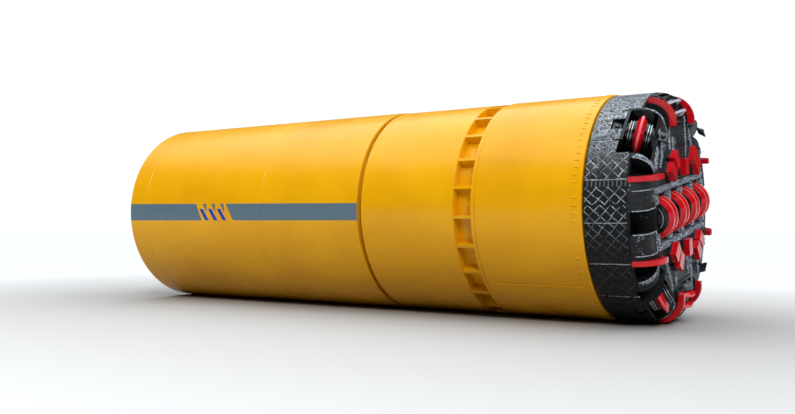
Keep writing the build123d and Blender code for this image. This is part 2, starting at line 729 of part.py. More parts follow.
with BuildPart() as gauge_housings:
    build_wells(gauge_planes, gauge_well)
    for plane in gauge_planes:
        with BuildSketch(plane.offset(-RETAINER_DEPTH)) as retainer:
            Rectangle(2 * RETAINER_REACH, RETAINER_WIDTH)
            Rectangle(gauge_well[0], RETAINER_WIDTH, mode=Mode.SUBTRACT)
        extrude(retainer.sketch, amount=RETAINER_DEPTH + RETAINER_TOP)
    with BuildSketch(head_plane(drum_rear)):
        for spoke in POST_SPOKES:
            with Locations(Location((0, 0), spoke)):
                Rectangle(
                    beyond_rim,
                    2 * (POST_PLATE_OFFSET + plate_face),
                    align=(Align.MIN, Align.CENTER),
                )
    extrude(amount=beyond_rim, mode=Mode.SUBTRACT)
    trim_to_head(GAUGE_MOUTH_RISE)
write(gauge_housings.part, "gauge_housings")

# Hub: the journal turns in the bearing housing, the cone crushes, the flange carries the row.
cone_rear = housing_front + MOVING_GAP
with BuildPart() as head_hub:
    turn_outline(
        (
            (bulkhead_rear + MOVING_GAP, 0),
            (bulkhead_rear + MOVING_GAP, JOURNAL_RADIUS),
            (cone_rear, JOURNAL_RADIUS),
            (cone_rear, CONE_REAR_RADIUS),
            (HUB_FRONT - HUB_FLANGE_DEPTH, hub_flange_radius),
            (HUB_FRONT, hub_flange_radius),
            (HUB_FRONT, 0),
        )
    )
    cut_wells()
write(head_hub.part, "head_hub")

# Eight arms join the hub's flange to the drum, in line with the side plates in front of them.
with BuildPart() as head_arms:
    for rear, front, inner in (
        (HUB_FRONT - HUB_FLANGE_DEPTH, HUB_FRONT, hub_flange_radius),
        (HUB_FRONT, DRUM_FRONT, PLATE_INNER),
    ):
        with BuildSketch(head_plane(rear)):
            for spoke, side in side_plates:
                with Locations(Location(beside_spoke(spoke, PLATE_INNER, side), spoke)):
                    Rectangle(drum_radius, PLATE_THICKNESS, align=(Align.MIN, Align.CENTER))
            Circle(drum_bore, mode=Mode.INTERSECT)
            Circle(inner, mode=Mode.SUBTRACT)
        extrude(amount=front - rear)
write(head_arms.part, "head_arms")


def arc_centre(side):
    """Distance along a spoke to the centre of the arc at a distance to its side."""
    rim = SHIELD_RADIUS - ARC_RIM_GAP
    return math.sqrt(rim**2 - (abs(side) + ARC_THICKNESS / 2) ** 2) - ARC_RADIUS


# Side plates end in a curve, which the arc bars follow.
arc_inner = ARC_RADIUS - ARC_WIDTH
with BuildPart() as arc_carriers:
    for spoke, side in side_plates:
        centre = arc_centre(side)
        with BuildSketch(spoke_plane(spoke, side)) as carrier:
            with BuildLine():
                Polyline(
                    (DRUM_FRONT + arc_inner, centre),
                    (DRUM_FRONT + arc_inner, centre - ARC_TAIL),
                    (face_front, PLATE_INNER),
                    (DRUM_FRONT, PLATE_INNER),
                    (DRUM_FRONT, centre + arc_inner),
                )
                RadiusArc((DRUM_FRONT, centre + arc_inner), (DRUM_FRONT + arc_inner, centre), arc_inner)
            make_face()
        extrude(carrier.sketch, amount=plate_face, both=True)
write(arc_carriers.part, "arc_carriers")

with BuildPart() as arc_bars:
    for spoke, side in side_plates:
        centre = arc_centre(side)
        with BuildSketch(spoke_plane(spoke, side)) as bar:
            with BuildLine():
                RadiusArc((DRUM_FRONT, centre + ARC_RADIUS), (DRUM_FRONT + ARC_RADIUS, centre), ARC_RADIUS)
                Polyline(
                    (DRUM_FRONT + ARC_RADIUS, centre),
                    (DRUM_FRONT + ARC_RADIUS, centre - ARC_TAIL),
                    (DRUM_FRONT + arc_inner, centre - ARC_TAIL),
                    (DRUM_FRONT + arc_inner, centre),
                )
                RadiusArc((DRUM_FRONT + arc_inner, centre), (DRUM_FRONT, centre + arc_inner), -arc_inner)
                Line((DRUM_FRONT, centre + arc_inner), (DRUM_FRONT, centre + ARC_RADIUS))
            make_face()
        extrude(bar.sketch, amount=ARC_THICKNESS / 2, both=True)
write(arc_bars.part, "arc_bars")

# Scraper bits stand on their holders in front of the face, each in line with the head's middle.
bit_places = [(radius, angle + half_turn) for radius, angle in BIT_PLACES for half_turn in (0.0, 180.0)]


def bit_blocks(station, margin, height):
    """Builds one block at each scraper's place, inside an open part."""
    with BuildSketch(head_plane(station)) as blocks:
        for radius, angle in bit_places:
            with Locations(Location(on_circle(radius, angle), angle)):
                Rectangle(BIT_RADIAL + 2 * margin, BIT_ACROSS + 2 * margin)
    extrude(blocks.sketch, amount=height)


with BuildPart() as scraper_holders:
    bit_blocks(face_front, HOLDER_MARGIN, HOLDER_HEIGHT)
    with BuildSketch(head_plane(face_front)):
        with Locations((0, ROW_OFFSET)):
            Rectangle(2 * row_half_length, 2 * (SLOT_HALF_WIDTH + BEAM_THICKNESS))
    extrude(amount=BEAM_RISE, mode=Mode.SUBTRACT)
write(scraper_holders.part, "scraper_holders")

with BuildPart() as scraper_bits:
    bit_blocks(face_front + HOLDER_HEIGHT, 0.0, BIT_HEIGHT)
write(scraper_bits.part, "scraper_bits")


# Cutters turn on fixed shafts.
def cutter_outline(radius, body_half, hub_half, ridges, ridge_base):
    """Outline of half a cutter's section, as (along the shaft, radius) points."""
    bore = SHAFT_RADIUS + RUNNING_GAP
    root = radius - RIDGE_HEIGHT
    rising = [
        (-hub_half, bore),
        (-hub_half, HUB_RADIUS - HUB_STEP),
        (-hub_half + HUB_STEP, HUB_RADIUS - HUB_STEP),
        (-hub_half + HUB_STEP, HUB_RADIUS),
        (-body_half, HUB_RADIUS),
        (-body_half, root),
    ]
    crests = []
    for ridge in ridges:
        crests += [
            (ridge - ridge_base / 2, root),
            (ridge - RIDGE_TIP / 2, radius),
            (ridge + RIDGE_TIP / 2, radius),
            (ridge + ridge_base / 2, root),
        ]
    falling = [(-along, height) for along, height in reversed(rising)]
    return rising + crests + falling


def write_cutter(plane, outline, name):
    """Turns a cutter about its shaft, which lies along the plane's local x, and writes it."""
    with BuildPart() as cutter:
        with BuildSketch(Plane(origin=plane.origin, x_dir=plane.x_dir, z_dir=-plane.y_dir)):
            with BuildLine():
                Polyline(*outline, close=True)
            make_face()
        revolve(axis=Axis(plane.origin, plane.x_dir))
    write(cutter.part, name)


def twin_outline(radius):
    """Outline of half the section of a cutter with two ridges."""
    ridges = (-RIDGE_SPACING / 2, RIDGE_SPACING / 2)
    return cutter_outline(radius, BODY_HALF_LENGTH, HUB_HALF_LENGTH, ridges, RIDGE_BASE)


row_plane = head_plane(CUTTER_AXIS)
row_planes = []
for step in range(CUTTER_COUNT):
    place = CUTTER_PITCH * (step - (CUTTER_COUNT - 1) / 2)
    origin = row_plane.origin + row_plane.x_dir * place + row_plane.y_dir * ROW_OFFSET
    row_planes.append(Plane(origin=origin, x_dir=row_plane.x_dir, z_dir=row_plane.z_dir))
gauge_outline = cutter_outline(
    GAUGE_RADIUS,
    GAUGE_BODY_HALF_LENGTH,
    GAUGE_HUB_HALF_LENGTH,
    (0.0,),
    GAUGE_RIDGE_BASE,
)
for number, plane in enumerate(row_planes, 1):
    write_cutter(plane, twin_outline(CUTTER_RADIUS), f"centre_cutter_{number}")
for number, plane in enumerate(face_planes, 1):
    write_cutter(plane, twin_outline(FACE_CUTTER_RADIUS), f"face_cutter_{number}")
for number, plane in enumerate(gauge_planes, 1):
    write_cutter(plane, gauge_outline, f"gauge_cutter_{number}")

with BuildPart() as cutter_shafts:
    for planes, half_length in (
        (row_planes, (CUTTER_PITCH - PARTITION_THICKNESS) / 2),
        (face_planes, face_well[0] / 2 - WELL_WALL),
        (gauge_planes, gauge_well[0] / 2 - WELL_WALL),
    ):
        for plane in planes:
            with BuildSketch(Plane(origin=plane.origin, z_dir=plane.x_dir)):
                Circle(SHAFT_RADIUS)
            extrude(amount=half_length, both=True)
write(cutter_shafts.part, "cutter_shafts")
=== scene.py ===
"""Looks of the tunnel boring machine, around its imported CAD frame. Lengths are in metres."""
import json
import math
import random

import bmesh
import bpy
from mathutils import Matrix, Vector, noise


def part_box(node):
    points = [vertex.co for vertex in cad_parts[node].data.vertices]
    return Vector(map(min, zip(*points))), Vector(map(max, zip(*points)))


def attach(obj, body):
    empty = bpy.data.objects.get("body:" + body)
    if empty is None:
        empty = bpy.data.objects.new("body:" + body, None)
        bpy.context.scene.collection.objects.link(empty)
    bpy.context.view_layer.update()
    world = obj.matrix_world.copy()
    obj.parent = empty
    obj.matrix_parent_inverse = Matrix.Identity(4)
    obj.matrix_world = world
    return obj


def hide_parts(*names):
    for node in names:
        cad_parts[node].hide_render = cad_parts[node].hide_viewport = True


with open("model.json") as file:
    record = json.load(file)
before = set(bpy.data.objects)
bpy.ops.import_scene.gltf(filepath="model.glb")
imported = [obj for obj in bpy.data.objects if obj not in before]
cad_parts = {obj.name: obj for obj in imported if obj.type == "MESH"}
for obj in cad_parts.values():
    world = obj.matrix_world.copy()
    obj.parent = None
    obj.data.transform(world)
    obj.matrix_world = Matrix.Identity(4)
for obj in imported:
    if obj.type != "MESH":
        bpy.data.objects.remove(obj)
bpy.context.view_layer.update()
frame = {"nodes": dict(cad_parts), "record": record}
NODES = frame["nodes"]

# Where the machine's main stations are, from the frame
SHIELD_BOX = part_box("front_shield")
FRONT_EDGE = SHIELD_BOX[1][0]
AXIS_HEIGHT = (SHIELD_BOX[0][2] + SHIELD_BOX[1][2]) / 2
SHIELD_RADIUS = (SHIELD_BOX[1][2] - SHIELD_BOX[0][2]) / 2
CAN_RADIUS = (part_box("tail_can")[1][2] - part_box("tail_can")[0][2]) / 2
DRUM_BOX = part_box("drum")
DRUM_RADIUS = (DRUM_BOX[1][1] - DRUM_BOX[0][1]) / 2
DRUM_FRONT = DRUM_BOX[1][0] - FRONT_EDGE
FACE_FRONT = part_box("face_plate")[1][0] - FRONT_EDGE
SHOULDER = FACE_FRONT - DRUM_FRONT
HEAD_TURN = math.radians(8.3)

# A bead whose place on the shield has a lower sine than this would reach the floor
ON_FLOOR = -math.cos(math.radians(9))

# The photograph's camera, from a fit to the round edges
FRAME_WIDTH = 795
CAMERA_PLACE = (1.529, -4.532, -0.100)
CAMERA_YAW = math.radians(123.51)
CAMERA_PITCH = math.radians(1.277)
FOCAL_PIXELS = 848.15
SENSOR = 36.0

# The studio: the sky brightens over these heights of its direction, and the camera sees a backdrop
SKY_HEIGHTS = (0.58, 0.74)
SKY_STRENGTHS = (0.05, 2.6)
SKY_COLOR = (0.93, 0.97, 1.0, 1.0)
BACKDROP_STRENGTH = 1.08
KEY_FROM = (0.55, -0.60, 0.58)
KEY_STRENGTH = 1.3
KEY_SPREAD = math.radians(14)
FLOOR_REACH = 60.0

# The head's layout, as its CAD has it: distances along the centre row (s) and across it (h)
ROW_OFFSET = -0.010
ROW_HALF_LENGTH = 0.441
SLOT_HALF_WIDTH = 0.125
BEAM_THICKNESS = 0.032
RECESS_LOW = -0.061
RECESS_HIGH = 0.053
ROW_PLATE = 0.203
POST_PLATE = 0.172
PLATE_FACE = 0.013
WELL_HALF = 0.120
GAUGE_LEANS = {1: math.radians(39.7), -1: math.radians(35.3)}
DIAGONAL_GAP = 0.150
ROW_SPOKES = (0.0, math.pi)
POST_SPOKES = (math.pi / 2, 3 * math.pi / 2)

# Cutters in the face: spoke angle, station, radius, lean of the housing's mouth from the axis
FACE_CUTTERS = {
    "face_cutter_1": (math.radians(90), 0.247, 0.490, math.radians(23)),
    "face_cutter_2": (math.radians(270), 0.248, 0.474, math.radians(13)),
}
GAUGE_CUTTERS = {}
for index, post in enumerate(POST_SPOKES):
    GAUGE_CUTTERS[f"gauge_cutter_{2 * index + 1}"] = (post - GAUGE_LEANS[-1], 0.258, 0.500, math.radians(58))
    GAUGE_CUTTERS[f"gauge_cutter_{2 * index + 2}"] = (post + GAUGE_LEANS[1], 0.216, 0.517, math.radians(68.5))
CUTTER_PITCH = 0.213
CENTRE_CUTTERS = {f"centre_cutter_{step + 1}": CUTTER_PITCH * (step - 1.5) for step in range(4)}
CUTTER_AXIS = 0.266
CUTTER_RADII = {"centre": 0.110, "face": 0.108, "gauge": 0.100}
PAINTED_DEPTH = 0.023

# Distances of the bright rings on a cutter's hub from the cutter's middle
HUB_RINGS = {"centre": (0.0735, 0.0645), "face": (0.0735, 0.0645), "gauge": (0.0505, 0.0385)}

# Half sizes of a face or gauge housing's mouth and of its retainers' notches
MOUTH_HALF = (0.108, 0.132)
NOTCH_HALF = (0.145, 0.042)

# Spacing of the points in hardfacing, and the number of beads between wear plates
GRAIN = 0.0045
PLATE_BEADS = 18

# Beads round the shield's edge, and the pockets behind it
EDGE_BEADS = 100
EDGE_BEAD_STATION = -0.036
POCKET_COUNT = 24
POCKET_PHASE = math.radians(12.5)
POCKET_DEPTH = 0.055


def station_point(station, across, up):
    """Row point of a station ahead of the shield's front edge, across and above the axis."""
    return Vector((FRONT_EDGE + station, across, AXIS_HEIGHT + up))


def hull_point(station, radius, angle):
    """Row point at a station, a radius and an angle from the machine's left side upwards."""
    return station_point(station, radius * math.cos(angle), radius * math.sin(angle))


def outward(angle):
    """Direction away from the axis at an angle."""
    return hull_point(0, 1, angle) - hull_point(0, 0, angle)


def head_point(station, s, h):
    """Row point at a station and at head distances along and across the centre row."""
    across = s * math.cos(HEAD_TURN) - h * math.sin(HEAD_TURN)
    up = s * math.sin(HEAD_TURN) + h * math.cos(HEAD_TURN)
    return station_point(station, across, up)


def beside_spoke(spoke, out, side):
    """Head distances (s, h) of a place along a spoke and to its side."""
    return (
        out * math.cos(spoke) - side * math.sin(spoke),
        out * math.sin(spoke) + side * math.cos(spoke),
    )


def shoulder_station(radius):
    """Station of the head's front surface at a radius, round its shoulder."""
    inner = DRUM_RADIUS - SHOULDER
    if radius <= inner:
        return FACE_FRONT
    reach = min(radius - inner, SHOULDER)
    return DRUM_FRONT + math.sqrt(SHOULDER**2 - reach**2)


def face_point(s, h, rise=0.0):
    """Row point on the head's front surface, raised along the surface's normal."""
    radius = math.hypot(s, h)
    inner = DRUM_RADIUS - SHOULDER
    station = shoulder_station(radius)
    if radius <= inner:
        return head_point(station + rise, s, h)
    lean = math.asin(min(1.0, (radius - inner) / SHOULDER))
    grown = 1 + rise * math.sin(lean) / radius
    return head_point(station + rise * math.cos(lean), s * grown, h * grown)


def cutter_frame(spoke, station, radius, lean):
    """Matrix of a cutter set in the face: x along its shaft, z out of its housing."""
    out = head_point(0, math.cos(spoke), math.sin(spoke)) - head_point(0, 0, 0)
    ahead = Vector((1, 0, 0))
    shaft = math.sin(lean) * ahead - math.cos(lean) * out
    normal = math.cos(lean) * ahead + math.sin(lean) * out
    across = normal.cross(shaft)
    place = head_point(station, 0, 0) + radius * out
    turned = Matrix((shaft, across, normal)).transposed().to_4x4()
    return Matrix.Translation(place) @ turned


def place_object(name, data):
    thing = bpy.data.objects.new(name, data)
    bpy.context.scene.collection.objects.link(thing)
    return thing


def make_camera():
    """Camera at the photograph's place, with its direction and lens."""
    data = bpy.data.cameras.new("camera")
    data.sensor_width = SENSOR
    data.sensor_fit = "HORIZONTAL"
    data.lens = SENSOR * FOCAL_PIXELS / FRAME_WIDTH
    data.clip_end = 60.0
    camera = place_object("camera", data)
    camera.location = station_point(*CAMERA_PLACE)
    flat = math.cos(CAMERA_PITCH)
    gaze = Vector((flat * math.cos(CAMERA_YAW), flat * math.sin(CAMERA_YAW), math.sin(CAMERA_PITCH)))
    camera.rotation_euler = gaze.to_track_quat("-Z", "Y").to_euler()
    bpy.context.scene.camera = camera


def make_world():
    """Bright soft sky overhead, dim sides, and a plain white backdrop behind the machine."""
    world = bpy.data.worlds.new("studio")
    world.use_nodes = True
    tree = world.node_tree
    background = tree.nodes["Background"]
    background.inputs["Color"].default_value = SKY_COLOR
    direction = tree.nodes.new("ShaderNodeTexCoord")
    split = tree.nodes.new("ShaderNodeSeparateXYZ")
    sky = tree.nodes.new("ShaderNodeMapRange")
    limits = (*SKY_HEIGHTS, *SKY_STRENGTHS)
    for socket, limit in zip(("From Min", "From Max", "To Min", "To Max"), limits):
        sky.inputs[socket].default_value = limit
    seen = tree.nodes.new("ShaderNodeLightPath")
    strength = tree.nodes.new("ShaderNodeMix")
    strength.inputs[3].default_value = BACKDROP_STRENGTH
    tree.links.new(direction.outputs["Generated"], split.inputs[0])
    tree.links.new(split.outputs[2], sky.inputs["Value"])
    tree.links.new(seen.outputs["Is Camera Ray"], strength.inputs[0])
    tree.links.new(sky.outputs[0], strength.inputs[2])
    tree.links.new(strength.outputs[0], background.inputs["Strength"])
    bpy.context.scene.world = world
    bpy.context.scene.view_settings.view_transform = "Standard"


def make_studio():
    """Pale floor, and a soft key light from the front right."""
    mesh = bpy.data.meshes.new("floor")
    signs = ((-1, -1), (1, -1), (1, 1), (-1, 1))
    corners = [(x * FLOOR_REACH, y * FLOOR_REACH, 0) for x, y in signs]
    mesh.from_pydata(corners, [], [(0, 1, 2, 3)])
    floor = place_object("floor", mesh)
    floor.data.materials.append(MATERIALS["floor"])
    key = bpy.data.lights.new("key", "SUN")
    key.energy = KEY_STRENGTH
    key.angle = KEY_SPREAD
    key.color = (1.0, 0.97, 0.92)
    lamp = place_object("key", key)
    lamp.rotation_euler = Vector(KEY_FROM).to_track_quat("Z", "Y").to_euler()


class Graph:
    """Short forms for the nodes of one material."""

    def __init__(self, name):
        self.material = bpy.data.materials.new(name)
        self.material.use_nodes = True
        self.tree = self.material.node_tree
        self.shader = self.tree.nodes["Principled BSDF"]
        coordinates = self.tree.nodes.new("ShaderNodeTexCoord")
        self.place = coordinates.outputs["Object"]
        split = self.tree.nodes.new("ShaderNodeSeparateXYZ")
        self.tree.links.new(self.place, split.inputs[0])
        self.x, self.y, self.z = split.outputs

    def feed(self, socket, value):
        """Links an output to a socket, or sets the socket to a number or colour."""
        if isinstance(value, bpy.types.NodeSocket):
            self.tree.links.new(value, socket)
        else:
            socket.default_value = value

    def add(self, kind, **values):
        """New node with its sockets set or linked, by their names with underscores."""
        node = self.tree.nodes.new(f"ShaderNode{kind}")
        for name, value in values.items():
            self.feed(node.inputs[name.replace("_", " ")], value)
        return node

    def math(self, operation, *values):
        node = self.tree.nodes.new("ShaderNodeMath")
        node.operation = operation
        for socket, value in zip(node.inputs, values):
            self.feed(socket, value)
        return node.outputs[0]

    def times(self, first, *others):
        """Product of several values."""
        for other in others:
            first = self.math("MULTIPLY", first, other)
        return first

    def most(self, first, *others):
        """The largest of several values."""
        for other in others:
            first = self.math("MAXIMUM", first, other)
        return first

    def minus(self, first, second):
        return self.math("SUBTRACT", first, second)

    def scaled(self, value, factor, offset):
        """Value times a factor, plus an offset."""
        return self.math("MULTIPLY_ADD", value, factor, offset)

    def distance(self, first, second):
        """Length of a vector with two parts."""
        squares = self.math("ADD", self.math("POWER", first, 2.0), self.math("POWER", second, 2.0))
        return self.math("SQRT", squares)

    def within(self, value, low, high):
        """1 where a value lies between two limits, else 0."""
        return self.math("COMPARE", value, (low + high) / 2, (high - low) / 2)

    def noise(self, scale, detail=4.0, roughness=0.6, stretch=None):
        place = self.place
        if stretch:
            place = self.add("Mapping", Vector=place, Scale=stretch).outputs[0]
        return self.add("TexNoise", Vector=place, Scale=scale, Detail=detail, Roughness=roughness).outputs[0]

    def cells(self, scale):
        """Distance to the nearest point of a random set."""
        return self.add("TexVoronoi", Vector=self.place, Scale=scale).outputs["Distance"]

    def ramp(self, value, low, high, start=0.0, end=1.0):
        """Value mapped from low..high to start..end, held outside."""
        limits = {"From_Min": low, "From_Max": high, "To_Min": start, "To_Max": end}
        return self.add("MapRange", Value=value, **limits).outputs[0]

    def mix(self, share, first, second):
        """Colour between two colours."""
        node = self.tree.nodes.new("ShaderNodeMix")
        node.data_type = "RGBA"
        self.feed(node.inputs[0], share)
        for socket, value in ((node.inputs[6], first), (node.inputs[7], second)):
            self.feed(socket, value if isinstance(value, bpy.types.NodeSocket) else (*value, 1.0))
        return node.outputs[2]

    def bump(self, height, distance):
        node = self.add("Bump", Strength=1.0, Distance=distance, Height=height)
        self.tree.links.new(node.outputs[0], self.shader.inputs["Normal"])

    def surface(self, **values):
        """Sets or links the shader's sockets, by their names with underscores."""
        for name, value in values.items():
            socket = self.shader.inputs[name.replace("_", " ")]
            if isinstance(value, tuple):
                value = (*value, 1.0)
            self.feed(socket, value)

    def coat(self, weight, roughness):
        self.shader.inputs["Coat Weight"].default_value = weight
        self.shader.inputs["Coat Roughness"].default_value = roughness


# Hardfaced ribbons on the face, as (s, h) paths with widths; each has a copy half a turn on
FACE_RIBBONS = (
    (((-0.318, 0.420), (-0.285, 0.370), (-0.290, 0.300), (-0.330, 0.235)), 0.034),
    (((-0.345, 0.330), (-0.395, 0.275), (-0.405, 0.235)), 0.046),
    (((-0.150, 0.480), (-0.150, 0.230)), 0.036),
    (((-0.088, 0.372), (-0.088, 0.240)), 0.040),
    (((0.150, 0.470), (0.150, 0.240)), 0.030),
    (((0.215, 0.400), (0.300, 0.240)), 0.030),
)

# How far each gauge window opens towards the muck opening beside it, from its cutter's line
WINDOW_FROM = 0.106
WINDOW_REACH = {1: 0.180, -1: 0.190}
WINDOW_HALF_WIDTH = 0.083

# Colours, in linear light
YELLOW = (0.82, 0.40, 0.001)
YELLOW_DEEP = (0.72, 0.33, 0.001)
STRIPE_GREY = (0.105, 0.165, 0.205)
SLASH_BLUE = (0.003, 0.05, 0.36)
BLACK = (0.006, 0.007, 0.009)
WORN_BLUE = (0.50, 0.61, 0.73)
BARE_STEEL = (0.56, 0.62, 0.69)
RED = (0.64, 0.004, 0.009)
# Lighter red of the painted highlight along cutter crests
RED_HIGHLIGHT = (0.85, 0.14, 0.15)

# The stripe on the right side of the rear cans: stations, and heights against the axis
STRIPE_REAR = -3.309
STRIPE_FRONT = -1.345
STRIPE_TOP = (0.053, 0.031)
STRIPE_BOTTOM = (-0.062, -0.068)

# Breaks of the grey stripe, as the station at its lower edge and how far the break leans to its upper edge
REAR_BREAK = (-2.605, 0.052)
FRONT_BREAK = (-2.325, 0.062)

# Slashes between the breaks: blue bars below, and grey wedges that widen towards the upper edge
SLASH_COUNT = 3
SLASH_STEP = 0.079
SLASH_LEAN = 0.076
BLUE_SLASH = (-2.573, 0.033)
BLUE_TOP = 0.69
GREY_SLASH = (-2.523, 0.035)
GREY_FOOT = 0.42

# Head angles of the narrow bands between wear plates that carry ticks and no lattice
PLAIN_BANDS = tuple(math.radians(angle) for angle in (-161.7, -18.3, 18.3, 161.7))


def darker(color, share):
    return tuple(share * part for part in color)


def stripe_masks(graph):
    """Masks of the stripe's grey and blue fields, in the hull's own coordinates."""
    station = graph.minus(graph.x, FRONT_EDGE)
    up = graph.minus(graph.z, AXIS_HEIGHT)
    top = graph.ramp(station, STRIPE_REAR, STRIPE_FRONT, *STRIPE_TOP)
    bottom = graph.ramp(station, STRIPE_REAR, STRIPE_FRONT, *STRIPE_BOTTOM)
    share = graph.math("DIVIDE", graph.minus(up, bottom), graph.minus(top, bottom))
    right_side = graph.math("LESS_THAN", graph.y, 0.0)
    ahead = graph.math("LESS_THAN", station, STRIPE_FRONT)
    outside = graph.math("GREATER_THAN", graph.distance(up, graph.y), CAN_RADIUS - 0.004)
    band = graph.times(graph.within(share, 0.0, 1.0), right_side, ahead, outside)
    rear, rear_lean = REAR_BREAK
    front, front_lean = FRONT_BREAK
    rear_field = graph.math("LESS_THAN", graph.scaled(share, rear_lean, station), rear)
    front_field = graph.math("GREATER_THAN", graph.scaled(share, front_lean, station), front)
    slanted = graph.scaled(share, SLASH_LEAN, station)

    def slashes(start, width, low, high):
        count = graph.minus(slanted, start)
        in_row = graph.within(count, 0.0, (SLASH_COUNT - 0.2) * SLASH_STEP)
        in_slash = graph.math("LESS_THAN", graph.math("MODULO", count, SLASH_STEP), width)
        return graph.times(in_row, in_slash, graph.within(share, low, high))

    blue = slashes(*BLUE_SLASH, 0.0, BLUE_TOP)
    widening = graph.ramp(share, GREY_FOOT, 1.0, 0.0, GREY_SLASH[1])
    grey = slashes(GREY_SLASH[0], widening, GREY_FOOT, 1.0)
    fields = graph.most(rear_field, front_field, grey)
    return graph.times(fields, band), graph.times(blue, band)


def yellow_paint(name, striped=False):
    """Glossy yellow enamel with faint waves, painted shade that darkens its lower side in streaks, and fine
    scratches.
    """
    graph = Graph(name)
    tone = graph.ramp(graph.noise(1.7, 3.0), 0.35, 0.7)
    color = graph.mix(tone, YELLOW, YELLOW_DEEP)
    # Painted shade: streaky dark brown that deepens towards the bottom of the hull.
    low = graph.minus(graph.z, AXIS_HEIGHT)
    painted_low_shade = graph.times(
        graph.ramp(low, -0.1, -0.62),
        graph.ramp(graph.noise(5.0, 6.0, 0.7, (0.5, 1.0, 2.0)), 0.3, 0.75, 0.25, 1.0),
    )
    color = graph.mix(graph.times(painted_low_shade, 0.55), color, (0.36, 0.13, 0.012))
    scuff = graph.ramp(graph.noise(22.0, 8.0, 0.75, (0.35, 1.0, 1.0)), 0.68, 0.78)
    color = graph.mix(graph.times(scuff, 0.35), color, (0.92, 0.62, 0.22))
    if striped:
        grey, blue = stripe_masks(graph)
        color = graph.mix(grey, color, STRIPE_GREY)
        color = graph.mix(blue, color, SLASH_BLUE)
    roughness = graph.scaled(graph.noise(9.0, 5.0), 0.22, 0.2)
    graph.surface(Base_Color=color, Roughness=roughness, Specular_IOR_Level=0.18)
    graph.coat(0.12, 0.1)
    waves = graph.noise(2.6, 2.0, 0.4, (0.35, 1.0, 1.0))
    ripple = graph.scaled(graph.noise(160.0, 2.0), 0.004, waves)
    graph.bump(ripple, 0.022)
    return graph.material


def black_paint(name, wear, polish=0.3):
    """Black enamel over rough steel, worn to blue-grey steel on its high grains."""
    graph = Graph(name)
    patches = graph.noise(13.0, 8.0, 0.7)
    grain = graph.noise(120.0, 5.0, 0.7)
    lumps = graph.noise(34.0, 6.0, 0.65)
    worn = graph.times(
        graph.ramp(patches, 0.70 - 0.25 * wear, 0.80 - 0.25 * wear),
        graph.ramp(grain, 0.45, 0.58),
    )
    graph.surface(
        Base_Color=graph.mix(worn, BLACK, WORN_BLUE),
        Roughness=graph.scaled(grain, 0.3, polish - 0.12),
        Metallic=graph.times(worn, 0.55),
        Specular_IOR_Level=0.28,
    )
    graph.bump(graph.scaled(grain, 0.35, lumps), 0.004 + 0.012 * wear)
    return graph.material


def red_gloss(name):
    """Fresh glossy red enamel with soft waves."""
    graph = Graph(name)
    tone = graph.ramp(graph.noise(24.0, 5.0, 0.65), 0.35, 0.7)
    graph.surface(
        Base_Color=graph.mix(tone, RED, darker(RED, 0.75)),
        Roughness=graph.scaled(graph.noise(60.0, 4.0), 0.16, 0.1),
        Specular_IOR_Level=0.25,
    )
    graph.coat(0.3, 0.04)
    graph.bump(graph.noise(48.0, 3.0, 0.5), 0.0016)
    return graph.material


def hardfacing(name, color=WORN_BLUE, dark=0.5):
    """Coarse welded grains, light blue-grey with dark pits between them."""
    graph = Graph(name)
    grains = graph.cells(150.0)
    pits = graph.ramp(graph.noise(95.0, 6.0, 0.75), dark - 0.05, dark + 0.05)
    graph.surface(
        Base_Color=graph.mix(pits, (0.01, 0.012, 0.016), color),
        Roughness=graph.scaled(grains, 0.3, 0.25),
        Metallic=graph.times(pits, 0.4),
    )
    graph.bump(graph.minus(graph.noise(130.0, 5.0, 0.75), grains), 0.007)
    return graph.material


def lattice_plate(name):
    """Black plate crossed by a diamond lattice of thin weld beads, with painted light that makes its upper
    side silvery and painted shade that dims its lines below.
    """
    graph = Graph(name)
    up = graph.minus(graph.z, AXIS_HEIGHT)
    turn = graph.math("ARCTAN2", up, graph.y)
    around = graph.times(turn, DRUM_RADIUS)
    wobble = graph.scaled(graph.noise(11.0, 4.0, 0.6), 0.034, -0.017)
    lines = []
    for sign, slope in ((1.0, 0.9), (-1.0, 1.15)):
        slanted = graph.scaled(around, sign * slope, graph.math("ADD", graph.x, wobble))
        cell = graph.math("FRACT", graph.math("DIVIDE", slanted, 0.056))
        lines.append(graph.ramp(graph.math("ABSOLUTE", graph.minus(cell, 0.5)), 0.03, 0.075, 1.0, 0.0))
    lines = graph.times(graph.most(*lines), graph.ramp(graph.noise(30.0, 7.0, 0.75), 0.40, 0.55))
    in_head = graph.minus(turn, HEAD_TURN)
    bands = []
    for middle in PLAIN_BANDS:
        gap = graph.math("ABSOLUTE", graph.minus(in_head, middle))
        bands.append(graph.math("LESS_THAN", gap, math.radians(1.7)))
    plain = graph.most(*bands)
    ticks = graph.within(graph.math("FRACT", graph.math("DIVIDE", graph.x, 0.021)), 0.0, 0.3)
    lines = graph.times(lines, graph.minus(1.0, plain))
    lines = graph.most(lines, graph.times(plain, ticks, 0.2))
    grain = graph.noise(80.0, 8.0, 0.8)
    # Painted light: the plate turns silvery towards its top, and its worn patches show only on its upper
    # part.
    painted_top_light = graph.ramp(up, 0.12, 0.42)
    patches = graph.ramp(graph.noise(9.0, 8.0, 0.72), 0.62, 0.72)
    worn = graph.most(painted_top_light, graph.times(patches, graph.ramp(up, -0.3, 0.1)))
    worn = graph.times(worn, graph.ramp(grain, 0.44, 0.58))
    # Painted shade: the lattice lines fade towards the bottom.
    bright = graph.times(lines, graph.ramp(up, -0.22, 0.0, 0.12, 1.0))
    share = graph.most(graph.times(worn, 0.75), bright)
    graph.surface(
        Base_Color=graph.mix(share, (0.006, 0.007, 0.008), BARE_STEEL),
        Roughness=graph.scaled(grain, 0.3, 0.16),
        Metallic=graph.times(share, 0.6),
        Specular_IOR_Level=0.18,
    )
    graph.bump(graph.scaled(lines, 0.6, graph.times(grain, 0.55)), 0.011)
    return graph.material


